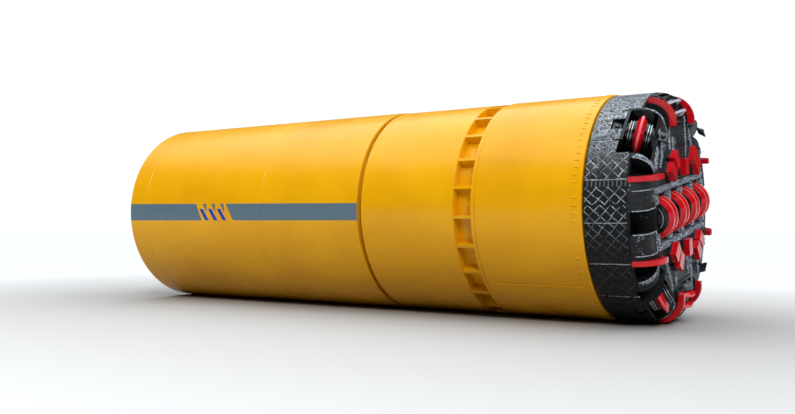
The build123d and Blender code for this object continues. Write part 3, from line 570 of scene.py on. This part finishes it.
def steel(name, color=BARE_STEEL, roughness=0.32, metallic=0.9):
    """Machined or rolled steel with fine marks."""
    graph = Graph(name)
    marks = graph.noise(90.0, 6.0, 0.7, (0.2, 1.0, 1.0))
    stains = graph.ramp(graph.noise(11.0, 6.0), 0.4, 0.75)
    graph.surface(
        Base_Color=graph.mix(stains, color, darker(color, 0.55)),
        Roughness=graph.scaled(marks, 0.3, roughness - 0.12),
        Metallic=metallic,
    )
    graph.bump(marks, 0.0012)
    return graph.material


def enamel(name, color, roughness=0.35):
    """Plain machine enamel with soft mottling."""
    graph = Graph(name)
    tone = graph.ramp(graph.noise(7.0, 6.0), 0.35, 0.75)
    graph.surface(
        Base_Color=graph.mix(tone, color, darker(color, 0.7)),
        Roughness=graph.scaled(graph.noise(30.0, 4.0), 0.2, roughness - 0.1),
    )
    graph.bump(graph.noise(140.0, 3.0), 0.0008)
    return graph.material


def tread(name):
    """Aluminium tread plate with a raised bar pattern."""
    graph = Graph(name)
    bars = []
    for sign in (1.0, -1.0):
        along = graph.scaled(graph.y, sign, graph.x)
        across = graph.scaled(graph.y, -sign, graph.x)
        line = graph.math("SINE", graph.times(along, 2 * math.pi / 0.022))
        length = graph.math("SINE", graph.times(across, 2 * math.pi / 0.044))
        bars.append(graph.ramp(graph.times(line, graph.most(length, 0.0)), 0.45, 0.65))
    bars = graph.most(*bars)
    graph.surface(
        Base_Color=graph.mix(bars, (0.30, 0.31, 0.32), (0.62, 0.63, 0.64)),
        Roughness=graph.ramp(graph.noise(40.0, 5.0), 0.3, 0.7, 0.28, 0.5),
        Metallic=0.85,
    )
    graph.bump(bars, 0.002)
    return graph.material


def pale_floor(name):
    """Pale matt floor with a painted shadow: greyer round the machine."""
    graph = Graph(name)
    # Painted shadow: the floor is greyer near the machine and paler away from it.
    beyond = graph.most(graph.minus(graph.math("ABSOLUTE", graph.x), 1.6), 0.0)
    away = graph.scaled(graph.noise(0.8, 2.0), 0.1, graph.distance(beyond, graph.y))
    share = graph.ramp(away, 0.5, 3.2)
    graph.surface(
        Base_Color=graph.mix(share, (0.36, 0.355, 0.35), (0.62, 0.62, 0.62)),
        Roughness=0.9,
        Specular_IOR_Level=0.1,
    )
    return graph.material


MATERIALS = {
    "yellow": yellow_paint("yellow"),
    "striped": yellow_paint("striped_yellow", striped=True),
    "black": black_paint("black", 0.3),
    "face": black_paint("worn_black", 0.5, 0.28),
    # Unworn, duller black for recessed parts and inner faces: painted shade.
    "recess_shade": black_paint("recess_shade_black", 0.0, 0.4),
    "lattice": lattice_plate("lattice"),
    "hardface": hardfacing("hardface"),
    "bead": hardfacing("weld_bead", BARE_STEEL, 0.42),
    "bright": steel("bright", (0.62, 0.66, 0.70), 0.25),
    "dark_steel": steel("dark_steel", (0.06, 0.065, 0.075), 0.3, 0.7),
    "smooth_grey": steel("smooth_grey", (0.20, 0.23, 0.26), 0.35, 0.6),
    "red": red_gloss("red"),
    # Painted light: pale ochre on the recessed articulation ring lightens the shaded seam so that it reads as
    # a thin line.
    "ochre": enamel("seam_ochre_painted_light", (0.66, 0.31, 0.002), 0.5),
    "frame": enamel("frame_grey", (0.22, 0.24, 0.26)),
    "blue": enamel("machine_blue", (0.03, 0.11, 0.26)),
    "pipe": enamel("pipe_grey", (0.25, 0.27, 0.29), 0.42),
    "case": enamel("case_white", (0.62, 0.62, 0.58), 0.4),
    "tread": tread("tread"),
    "floor": pale_floor("floor"),
}

NODE_MATERIALS = {
    "tail_collar": "striped", "tail_can": "striped", "steering_can": "striped", "middle_can": "yellow",
    "bolt_pocket_ring": "yellow", "front_shield": "yellow", "skid_plates": "yellow",
    "articulation_ring": "ochre", "drum": "black", "wear_plates": "lattice", "face_plate": "face",
    "centre_beams": "hardface", "centre_partitions": "black", "face_housings": "black",
    "gauge_housings": "recess_shade", "head_hub": "black", "head_arms": "recess_shade", "arc_carriers": "recess_shade",
    "arc_bars": "red", "scraper_holders": "dark_steel", "scraper_bits": "red", "cutter_shafts": "dark_steel",
    "main_drive": "blue", "steering_barrels": "blue", "power_pack": "blue", "control_cabinet": "blue",
    "feed_pipe": "pipe", "return_pipe": "pipe", "walkway": "tread", "laser_target": "case",
}


def dress_nodes():
    """Gives every CAD node its material."""
    for row in frame["record"]["subparts"]:
        name = row["node"]
        if name.startswith("steering_rod"):
            key = "bright"
        elif "_cutter_" in name:
            key = "red"
        else:
            key = NODE_MATERIALS.get(name, "frame")
        for slot in NODES[name].material_slots:
            slot.material = MATERIALS[key]


def cutter_paint(name, matrix, radius, body, crest_highlight):
    """Glossy paint on a cutter's ridges, with a painted highlight along the crests; its body and hub stay
    black.
    """
    graph = Graph(name)

    def vector_math(operation, first, second=(0, 0, 0)):
        node = graph.tree.nodes.new("ShaderNodeVectorMath")
        node.operation = operation
        graph.feed(node.inputs[0], first)
        graph.feed(node.inputs[1], second)
        return node.outputs["Value" if operation == "LENGTH" else "Vector"]

    from_axis = vector_math("SUBTRACT", graph.place, matrix.translation)
    shaft = matrix.col[0].to_3d()
    reach = vector_math("LENGTH", vector_math("CROSS_PRODUCT", from_axis, shaft))
    ragged = graph.scaled(graph.noise(60.0, 3.0), 0.002, reach)
    painted = graph.ramp(ragged, radius - PAINTED_DEPTH - 0.0005, radius - PAINTED_DEPTH + 0.0005)
    # Painted highlight: a lighter band along each crest.
    ridge_highlight_share = graph.ramp(ragged, radius - 0.002, radius - 0.0005)
    tone = graph.ramp(graph.noise(24.0, 5.0, 0.65), 0.35, 0.7)
    color = graph.mix(tone, body, darker(body, 0.75))
    color = graph.mix(graph.times(ridge_highlight_share, 0.8), color, crest_highlight)
    graph.surface(
        Base_Color=graph.mix(painted, BLACK, color),
        Roughness=graph.scaled(graph.noise(60.0, 4.0), 0.16, 0.1),
        Specular_IOR_Level=0.25,
    )
    graph.coat(0.3, 0.04)
    graph.bump(graph.noise(48.0, 3.0, 0.5), 0.0014)
    return graph.material


def paint_cutters():
    """Paints every cutter, and gives each one's matrix by its name."""
    places = {name: cutter_frame(*place) for name, place in {**FACE_CUTTERS, **GAUGE_CUTTERS}.items()}
    along_row = head_point(0, 1, 0) - head_point(0, 0, 0)
    ahead = Vector((1, 0, 0))
    for name, place in CENTRE_CUTTERS.items():
        turned = Matrix((along_row, ahead.cross(along_row), ahead)).transposed().to_4x4()
        places[name] = Matrix.Translation(head_point(CUTTER_AXIS, place, ROW_OFFSET)) @ turned
    for name, matrix in places.items():
        # Crest colour is a painted highlight: bare steel on the black upper face cutter, light red on the
        # others.
        body, crest_highlight = (BLACK, BARE_STEEL) if name == "face_cutter_1" else (RED, RED_HIGHLIGHT)
        material = cutter_paint(f"{name}_paint", matrix, CUTTER_RADII[name.split("_")[0]], body, crest_highlight)
        for slot in NODES[name].material_slots:
            slot.material = material
    return places


def add_piece(name, vertices, faces, material, body, smooth=False):
    """Makes a mesh piece that rides on a CAD body."""
    mesh = bpy.data.meshes.new(name)
    mesh.from_pydata([tuple(vertex) for vertex in vertices], [], faces)
    mesh.materials.append(MATERIALS[material])
    mesh.polygons.foreach_set("use_smooth", [smooth] * len(mesh.polygons))
    piece = place_object(name, mesh)
    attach(piece, body)
    return piece


class Shapes:
    """Collects many small solids into one mesh."""

    def __init__(self):
        self.vertices = []
        self.faces = []

    def add(self, vertices, faces):
        start = len(self.vertices)
        self.vertices += vertices
        self.faces += [tuple(start + index for index in face) for face in faces]

    def lathe(self, matrix, outline, count=16, closed=False):
        """Solid turned about a matrix's z axis, from (height, radius) points, or a ring if closed."""
        vertices = []
        for height, radius in outline:
            for step in range(count):
                angle = 2 * math.pi * step / count
                place = Vector((radius * math.cos(angle), radius * math.sin(angle), height))
                vertices.append(matrix @ place)
        faces = []
        rings = len(outline)
        for ring in range(rings if closed else rings - 1):
            low, high = ring * count, (ring + 1) % rings * count
            for step in range(count):
                after = (step + 1) % count
                faces.append((low + step, low + after, high + after, high + step))
        if not closed:
            faces.append(tuple(reversed(range(count))))
            last = (rings - 1) * count
            faces.append(tuple(range(last, last + count)))
        self.add(vertices, faces)

    def block(self, matrix, size, bevel=0.0):
        """Box about a matrix's origin, with bevelled top edges."""
        x, y, z = (part / 2 for part in size)
        vertices = []
        for rx, ry, rz in ((x, y, -z), (x, y, z - bevel), (x - bevel, y - bevel, z)):
            corners = ((-rx, -ry, rz), (rx, -ry, rz), (rx, ry, rz), (-rx, ry, rz))
            vertices += [matrix @ Vector(corner) for corner in corners]
        faces = [(3, 2, 1, 0), (8, 9, 10, 11)]
        for ring in (0, 4):
            for first in range(4):
                after = (first + 1) % 4
                faces.append((ring + first, ring + after, ring + after + 4, ring + first + 4))
        self.add(vertices, faces)

    def bead(self, points, normals, width, height, seed, sides=6):
        """Lumpy half-round weld bead along points on a surface."""
        count = len(points)
        vertices = []
        for index, (point, normal) in enumerate(zip(points, normals)):
            ahead = points[min(index + 1, count - 1)] - points[max(index - 1, 0)]
            side = ahead.cross(normal).normalized()
            lump = 0.75 + 0.5 * noise.noise(point * 95.0 + Vector((seed, 0, 0)))
            for step in range(sides + 1):
                angle = math.pi * step / sides
                across = math.cos(angle) * width / 2 * lump
                rise = math.sin(angle) * height * lump
                vertices.append(point + side * across + normal * (rise - 0.0008))
        faces = []
        row = sides + 1
        for index in range(count - 1):
            for step in range(sides):
                low = index * row + step
                faces.append((low, low + 1, low + row + 1, low + row))
        faces.append(tuple(reversed(range(row))))
        faces.append(tuple(range((count - 1) * row, count * row)))
        self.add(vertices, faces)

    def piece(self, name, material, body, smooth=False):
        return add_piece(name, self.vertices, self.faces, material, body, smooth)


def aim(place, direction, up=Vector((0, 0, 1))):
    """Matrix at a place whose z axis points in a direction."""
    z = direction.normalized()
    if abs(z.dot(up)) > 0.95:
        up = Vector((1, 0, 0))
    x = up.cross(z).normalized()
    y = z.cross(x)
    return Matrix.Translation(place) @ Matrix((x, y, z)).transposed().to_4x4()


def between(start, end, share):
    """Place (s, h) on the way from one place to another."""
    return (start[0] + (end[0] - start[0]) * share, start[1] + (end[1] - start[1]) * share)


def face_path(start, end, step):
    """Points and normals on the head's front surface, along a straight line in (s, h)."""
    count = max(2, int(math.dist(start, end) / step) + 1)
    points = []
    normals = []
    for index in range(count):
        place = between(start, end, index / (count - 1))
        points.append(face_point(*place))
        normals.append((face_point(*place, 0.01) - points[-1]).normalized())
    return points, normals


def turned_half(place, half):
    """A place (s, h), or the same place half a turn round the head."""
    return (-place[0], -place[1]) if half else place


def rim_crossing(start, end, radius):
    """Where the line from start to end meets a radius."""
    low, high = 0.0, 1.0
    for _ in range(30):
        middle = (low + high) / 2
        if math.hypot(*between(start, end, middle)) < radius:
            low = middle
        else:
            high = middle
    return between(start, end, low)


def opening_edges():
    """Slanted edges of the muck openings on the gauge cutters' side, as (apex, rim) pairs."""
    edges = []
    for spoke in ROW_SPOKES:
        for hand in (-1, 1):
            near = ROW_PLATE + PLATE_FACE
            slant = DIAGONAL_GAP * math.sqrt(2)
            apex = beside_spoke(spoke, near + slant, hand * near)
            far = beside_spoke(spoke, 0.7, hand * (0.7 - slant))
            edges.append((apex, rim_crossing(apex, far, DRUM_RADIUS - 0.001), spoke, hand, "row"))
    for spoke in POST_SPOKES:
        for hand, lean in GAUGE_LEANS.items():
            near = POST_PLATE + PLATE_FACE
            apex_out = (near * math.cos(lean) + WELL_HALF) / math.sin(lean)
            apex = beside_spoke(spoke, apex_out, hand * near)
            far = beside_spoke(spoke, 0.7, hand * (0.7 * math.sin(lean) - WELL_HALF) / math.cos(lean))
            edges.append((apex, rim_crossing(apex, far, DRUM_RADIUS - 0.001), spoke, hand, "post"))
    return edges


def lumpy_strip(shapes, path, width, place, seed, rise=0.0045):
    """Strip of coarse hardfacing along (s, h) points, on a surface given by place(s, h, rise)."""
    points = []
    for start, end in zip(path, path[1:]):
        count = max(2, int(math.dist(start, end) / GRAIN))
        points += [between(start, end, step / count) for step in range(count)]
    points.append(path[-1])
    rows = max(4, int(width / GRAIN))
    last = len(points) - 1
    vertices = []
    for index, (s, h) in enumerate(points):
        before = points[max(index - 3, 0)]
        after = points[min(index + 3, last)]
        length = math.dist(before, after)
        aside = ((before[1] - after[1]) / length, (after[0] - before[0]) / length)
        ragged = 1 + 0.35 * noise.noise(Vector((s * 40, h * 40, seed)))
        for row in range(rows + 1):
            shift = (row / rows - 0.5) * width * ragged
            at = (s + aside[0] * shift, h + aside[1] * shift)
            spot = Vector((at[0], at[1], seed))
            lump = 0.55 + 0.9 * noise.noise(spot * 75) + 0.6 * noise.noise(spot * 200)
            edge = row in (0, rows) or index in (0, last)
            vertices.append(place(*at, 0.0004 if edge else 0.0012 + rise * max(0.1, lump)))
    faces = []
    for index in range(last):
        for row in range(rows):
            low = index * (rows + 1) + row
            faces.append((low, low + rows + 1, low + rows + 2, low + 1))
    shapes.add(vertices, faces)


def make_ribbons():
    """Hardfaced ribbons between the muck openings and windows, and on the face."""
    shapes = Shapes()
    seed = 0.0
    for apex, rim, spoke, hand, kind in opening_edges():
        away = Vector((rim[0] - apex[0], rim[1] - apex[1])).normalized()
        aside = Vector((-away.y, away.x))
        if aside.dot(Vector((math.cos(spoke), math.sin(spoke)))) > 0:
            aside.negate()
        width = 0.020 if kind == "row" else 0.012
        start = (apex[0] + aside.x * width / 2, apex[1] + aside.y * width / 2)
        far = (rim[0] + aside.x * width / 2, rim[1] + aside.y * width / 2)
        end = rim_crossing(start, (far[0] + away.x * 0.05, far[1] + away.y * 0.05), DRUM_RADIUS - 0.002)
        lumpy_strip(shapes, [start, end], width, face_point, seed)
        seed += 9.7
    for path, width in FACE_RIBBONS:
        for half in (False, True):
            turned = [turned_half(place, half) for place in path]
            lumpy_strip(shapes, turned, width, face_point, seed)
            seed += 9.7
    shapes.piece("ribbon_hardfacing", "hardface", "cutterhead", True)


def make_face_welds():
    """Weld beads along the borders of the blocks, the openings and the beams."""
    shapes = Shapes()
    beam_high = ROW_OFFSET + SLOT_HALF_WIDTH
    beam_low = ROW_OFFSET - SLOT_HALF_WIDTH
    borders = []
    blocks = ((RECESS_HIGH, beam_high + BEAM_THICKNESS), (beam_low - BEAM_THICKNESS, RECESS_LOW))
    for sign in (-1, 1):
        end = sign * ROW_HALF_LENGTH
        for low, high in blocks:
            if sign > 0:
                low, high = -high, -low
            for h in (low, high):
                reach = math.sqrt((DRUM_RADIUS - 0.002) ** 2 - h**2)
                borders.append(((end, h), (sign * reach, h)))
            borders.append(((end, low), (end, high)))
    for apex, rim, *_ in opening_edges():
        borders.append((apex, rim))
    for number, (start, end) in enumerate(borders):
        points, normals = face_path(start, end, 0.005)
        shapes.bead(points, normals, 0.007, 0.0035, number * 7.3)
    shapes.piece("face_welds", "bead", "cutterhead", True)


def make_beam_hardfacing():
    """Coarse hardfacing on the two centre beams, and wedges of it at the partitions' ends."""
    shapes = Shapes()
    beam_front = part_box("centre_beams")[1][0] - FRONT_EDGE

    def on_beam(s, h, rise):
        return head_point(beam_front + rise, s, h)

    for hand in (-1, 1):
        middle = ROW_OFFSET + hand * (SLOT_HALF_WIDTH + BEAM_THICKNESS / 2)
        path = [(-ROW_HALF_LENGTH, middle), (ROW_HALF_LENGTH, middle)]
        lumpy_strip(shapes, path, BEAM_THICKNESS * 0.86, on_beam, 3.1 * hand, 0.006)
        inner = ROW_OFFSET + hand * (SLOT_HALF_WIDTH - 0.001)
        for step in range(5):
            s = CUTTER_PITCH * (step - 2)
            tip = inner - hand * 0.052
            corners = [(s - 0.027, inner), (s + 0.027, inner), (s + 0.012, tip), (s - 0.012, tip)]
            vertices = []
            for station in (beam_front - 0.034, beam_front - 0.001):
                vertices += [head_point(station, *corner) for corner in corners]
            faces = [(3, 2, 1, 0), (4, 5, 6, 7), (0, 1, 5, 4), (1, 2, 6, 5), (2, 3, 7, 6), (3, 0, 4, 7)]
            shapes.add(vertices, faces)
            lumpy_strip(shapes, [(s, inner), (s, tip)], 0.040, on_beam, step + 5.0 * hand, 0.004)
    shapes.piece("beam_hardfacing", "hardface", "cutterhead", True)


def make_plate_welds():
    """Weld beads along the wear plates' borders."""
    shapes = Shapes()
    rear, front = (corner[0] - FRONT_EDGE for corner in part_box("wear_plates"))
    places = [*GAUGE_CUTTERS.values(), *FACE_CUTTERS.values()]
    windows = [cutter_frame(*place).inverted() for place in places]
    radius = DRUM_RADIUS + 0.0005
    for number in range(PLATE_BEADS):
        angle = HEAD_TURN + number * 2 * math.pi / PLATE_BEADS
        run = []
        for index in range(42):
            point = hull_point(rear + (front - rear) * index / 41, radius, angle)
            if any(covers_window(inverse, point) for inverse in windows):
                add_run(shapes, run, angle, number)
                run = []
            else:
                run.append(point)
        add_run(shapes, run, angle, number)
    shapes.piece("plate_welds", "bead", "cutterhead", True)


def covers_window(inverse, point):
    """Whether a point lies over a cutter housing's mouth or its retainers' notches."""
    local = inverse @ point
    if local.z < 0:
        return False
    return any(abs(local.x) < x and abs(local.y) < y for x, y in (MOUTH_HALF, NOTCH_HALF))


def add_run(shapes, run, angle, seed):
    """Adds one straight bead on the drum, unless it is too short."""
    if len(run) > 2:
        shapes.bead(run, [outward(angle)] * len(run), 0.010, 0.006, seed * 3.1)


def make_shield_beads():
    """Short raised beads round the front edge of the shield."""
    shapes = Shapes()
    chance = random.Random(5)
    for index in range(EDGE_BEADS):
        angle = 2 * math.pi * index / EDGE_BEADS
        length = 0.020 + 0.004 * chance.random()
        slant = 0.10 * (chance.random() - 0.5)
        if math.sin(angle) < ON_FLOOR:
            continue
        run = []
        for step in range(7):
            along = (step / 6 - 0.5) * length
            station = EDGE_BEAD_STATION + along
            run.append(hull_point(station, SHIELD_RADIUS - 0.0006, angle + along * slant))
        shapes.bead(run, [outward(angle)] * len(run), 0.011, 0.0055, index * 2.7)
    shapes.piece("shield_beads", "yellow", "front_cans", True)


def make_pocket_bolts():
    """A large and a small bolt head at the front wall of each pocket."""
    shapes = Shapes()
    floor_radius = SHIELD_RADIUS - POCKET_DEPTH
    front_wall = SHIELD_BOX[0][0] - FRONT_EDGE - 0.023
    for index in range(POCKET_COUNT):
        angle = POCKET_PHASE + 2 * math.pi * index / POCKET_COUNT
        for shift, radius in ((0.025, 0.012), (-0.055, 0.007)):
            place = hull_point(front_wall, floor_radius + 0.024, angle + shift)
            washer = radius * 1.35
            outline = [(0.0, washer), (0.005, washer), (0.005, radius), (0.017, radius)]
            outline.append((0.021, radius * 0.6))
            shapes.lathe(aim(place, Vector((-1, 0, 0))), outline, 14)
    shapes.piece("pocket_bolts", "yellow", "front_cans")


def make_skid_edges():
    """Weld fillets along the long edges of the raised plates on the shield."""
    shapes = Shapes()
    rear, front = (corner[0] - FRONT_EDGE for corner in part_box("skid_plates"))
    for angle in (math.radians(180 + 41.5), math.radians(-41.5)):
        stations = [rear + (front - rear) * index / 90 for index in range(91)]
        run = [hull_point(station, SHIELD_RADIUS + 0.0042, angle) for station in stations]
        shapes.bead(run, [outward(angle)] * len(run), 0.008, 0.0035, 4.4)
    shapes.piece("skid_edges", "yellow", "front_cans", True)


def head_envelope(rise):
    """Thick shell that lies outside the head's surface by a rise."""
    outline = [(-0.02, DRUM_RADIUS + 0.006 + rise), (DRUM_FRONT - 0.004, DRUM_RADIUS + 0.006 + rise)]
    for step in range(9):
        angle = math.radians(84 - 84 * step / 8)
        reach = SHOULDER + rise
        radius = DRUM_RADIUS - SHOULDER + reach * math.sin(angle)
        outline.append((DRUM_FRONT + reach * math.cos(angle), radius))
    outline.append((FACE_FRONT + rise, 0.30))
    outline += [(FACE_FRONT + 0.2, 0.30), (FACE_FRONT + 0.2, 0.85), (-0.02, 0.85)]
    count = 144
    vertices = []
    for station, radius in outline:
        vertices += [hull_point(station, radius, 2 * math.pi * step / count) for step in range(count)]
    faces = []
    rings = len(outline)
    for ring in range(rings):
        low, high = ring * count, (ring + 1) % rings * count
        for step in range(count):
            after = (step + 1) % count
            faces.append((low + step, low + after, high + after, high + step))
    return vertices, faces


def tool_object(name, vertices, faces):
    """Closed mesh for a boolean, with its faces turned outwards."""
    mesh = bpy.data.meshes.new(name)
    mesh.from_pydata([tuple(vertex) for vertex in vertices], [], faces)
    shape = bmesh.new()
    shape.from_mesh(mesh)
    bmesh.ops.recalc_face_normals(shape, faces=shape.faces)
    shape.to_mesh(mesh)
    shape.free()
    return place_object(name, mesh)


def is_inner(polygon, node):
    """Whether a face of the head's shell looks inwards or lies in one of its openings."""
    normal = polygon.normal
    outwards = Vector((0, polygon.center.y, polygon.center.z - AXIS_HEIGHT)).normalized()
    if node == "face_plate":
        return normal.x < 0.02
    if node == "wear_plates":
        return False
    return normal.dot(outwards) < 0.5 and normal.x < 0.9


def open_windows():
    """Opens the gauge windows as far as the narrow land beside each muck opening."""
    shapes = Shapes()
    for name, place in GAUGE_CUTTERS.items():
        ahead = 1 if name[-1] in "24" else -1
        far = WINDOW_REACH[ahead]
        middle = Vector((0, -ahead * (WINDOW_FROM + far) / 2, 0.03))
        matrix = cutter_frame(*place) @ Matrix.Translation(middle)
        shapes.block(matrix, (2 * WINDOW_HALF_WIDTH, far - WINDOW_FROM, 0.20))
    windows = tool_object("windows", shapes.vertices, shapes.faces)
    beyond = tool_object("beyond", *head_envelope(0.002))
    for node, material in (
        ("drum", "black"), ("face_plate", "face"), ("wear_plates", "lattice"), ("gauge_housings", "recess_shade"),
    ):
        mesh = NODES[node].data.copy()
        shape = bmesh.new()
        shape.from_mesh(mesh)
        bmesh.ops.remove_doubles(shape, verts=shape.verts, dist=1e-6)
        shape.to_mesh(mesh)
        shape.free()
        piece = place_object(f"{node}_opened", mesh)
        for tool in (windows, beyond) if node == "gauge_housings" else (windows,):
            cut = piece.modifiers.new(tool.name, "BOOLEAN")
            cut.operation = "DIFFERENCE"
            cut.object = tool
            cut.solver = "EXACT"
        bpy.context.view_layer.update()
        evaluated = piece.evaluated_get(bpy.context.evaluated_depsgraph_get())
        piece.data = bpy.data.meshes.new_from_object(evaluated)
        piece.modifiers.clear()
        piece.data.materials.clear()
        # Faces that look inwards or lie in the openings take the painted shade black.
        for key in (material, "recess_shade"):
            piece.data.materials.append(MATERIALS[key])
        for polygon in piece.data.polygons:
            polygon.material_index = int(is_inner(polygon, node))
        piece.data.polygons.foreach_set("use_smooth", [True] * len(piece.data.polygons))
        piece.data.set_sharp_from_angle(angle=math.radians(28))
        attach(piece, "cutterhead")
        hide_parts(node)
    for tool in (windows, beyond):
        bpy.data.objects.remove(tool)


def make_cutter_details(places):
    """Hub rings, clamps and bolt heads at the gauge and face cutters."""
    clamps = Shapes()
    bolts = Shapes()
    for name, matrix in places.items():
        kind = name.split("_")[0]
        turned = matrix @ Matrix.Rotation(math.pi / 2, 4, "Y")
        shapes = Shapes()
        for side in (-1, 1):
            for shift in HUB_RINGS[kind]:
                low, high = side * shift - 0.0012, side * shift + 0.0012
                outline = [(low, 0.0655), (low, 0.0672), (high, 0.0672), (high, 0.0655)]
                shapes.lathe(turned, outline, 48, closed=True)
        shapes.piece(f"{name}_rings", "bright", name)
        if kind != "gauge":
            continue
        for side in (-1, 1):
            plate = matrix @ Matrix.Translation((side * 0.112, 0, 0.024))
            clamps.block(plate, (0.044, 0.062, 0.008), 0.002)
            head = matrix @ Matrix.Translation((side * 0.112, 0, 0.028))
            outline = [(0.0, 0.0145), (0.004, 0.0145), (0.004, 0.012), (0.010, 0.012), (0.012, 0.010)]
            bolts.lathe(head, outline, 6)
    clamps.piece("shaft_clamps", "dark_steel", "cutterhead")
    bolts.piece("clamp_bolts", "dark_steel", "cutterhead")


def make_cap(matrix):
    """Grey grooved cap on the inner end of the lower face cutter."""
    shapes = Shapes()
    turned = matrix @ Matrix.Rotation(math.pi / 2, 4, "Y")
    outline = [(0.061, 0.060), (0.061, 0.092), (0.0645, 0.092), (0.0645, 0.086), (0.067, 0.086)]
    outline += [(0.067, 0.092), (0.0705, 0.092), (0.0705, 0.086), (0.073, 0.086)]
    outline += [
        (0.073 + 0.011 * math.sin(math.radians(angle)), 0.078 + 0.012 * math.cos(math.radians(angle)))
        for angle in range(0, 91, 15)
    ]
    outline.append((0.084, 0.060))
    shapes.lathe(turned, outline, 64)
    shapes.piece("grooved_cap", "smooth_grey", "face_cutter_2")


def circle_place(x, middle, radius, angle):
    """Point on a circle of bolts about a line along the machine."""
    return Vector((x, middle[0] + radius * math.cos(angle), middle[1] + radius * math.sin(angle)))


def make_tail_details():
    """Doors, handles, flange bolts, cooling fins and anchor bolts seen through the open tail."""
    doors = Shapes()
    handles = Shapes()
    low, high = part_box("control_cabinet")
    face = low[1]
    for share in (0.27, 0.73):
        middle = Vector((low[0] + (high[0] - low[0]) * share, face, (low[2] + high[2]) / 2))
        doors.block(aim(middle, Vector((0, -1, 0))), (0.27, 0.37, 0.006), 0.002)
        grip = middle + Vector((0.10 if share < 0.5 else -0.10, -0.010, 0))
        handles.block(aim(grip, Vector((0, -1, 0))), (0.018, 0.09, 0.016), 0.004)
    low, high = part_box("power_pack")
    face = high[1]
    for index in range(16):
        x = low[0] + 0.10 + 0.034 * index
        middle = Vector((x, face + 0.004, (low[2] + high[2]) / 2))
        doors.block(aim(middle, Vector((0, 1, 0))), (0.012, 0.26, 0.010), 0.003)
    bolts = Shapes()
    backwards = Vector((-1, 0, 0))
    for pipe in ("feed_pipe", "return_pipe"):
        low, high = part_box(pipe)
        middle = ((low[1] + high[1]) / 2, (low[2] + high[2]) / 2)
        for index in range(8):
            place = circle_place(high[0] - 0.018, middle, 0.071, math.pi / 8 + index * math.pi / 4)
            bolts.lathe(aim(place, backwards), [(0.0, 0.009), (0.008, 0.009), (0.009, 0.007)], 6)
    thrust_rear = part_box("thrust_ring")[0][0]
    for index in range(24):
        place = circle_place(thrust_rear, (0.0, AXIS_HEIGHT), 0.522, math.radians(7.5 + 15 * index))
        bolts.lathe(aim(place, backwards), [(0.0, 0.013), (0.009, 0.013), (0.011, 0.010)], 6)
    doors.piece("cabinet_doors", "blue", "rear_cans")
    handles.piece("cabinet_handles", "bright", "rear_cans")
    bolts.piece("tail_bolts", "bright", "rear_cans")


make_camera()
make_world()
make_studio()
dress_nodes()
cutter_places = paint_cutters()
open_windows()
make_ribbons()
make_face_welds()
make_beam_hardfacing()
make_plate_welds()
make_shield_beads()
make_pocket_bolts()
make_skid_edges()
make_cutter_details(cutter_places)
make_cap(cutter_places["face_cutter_2"])
make_tail_details()
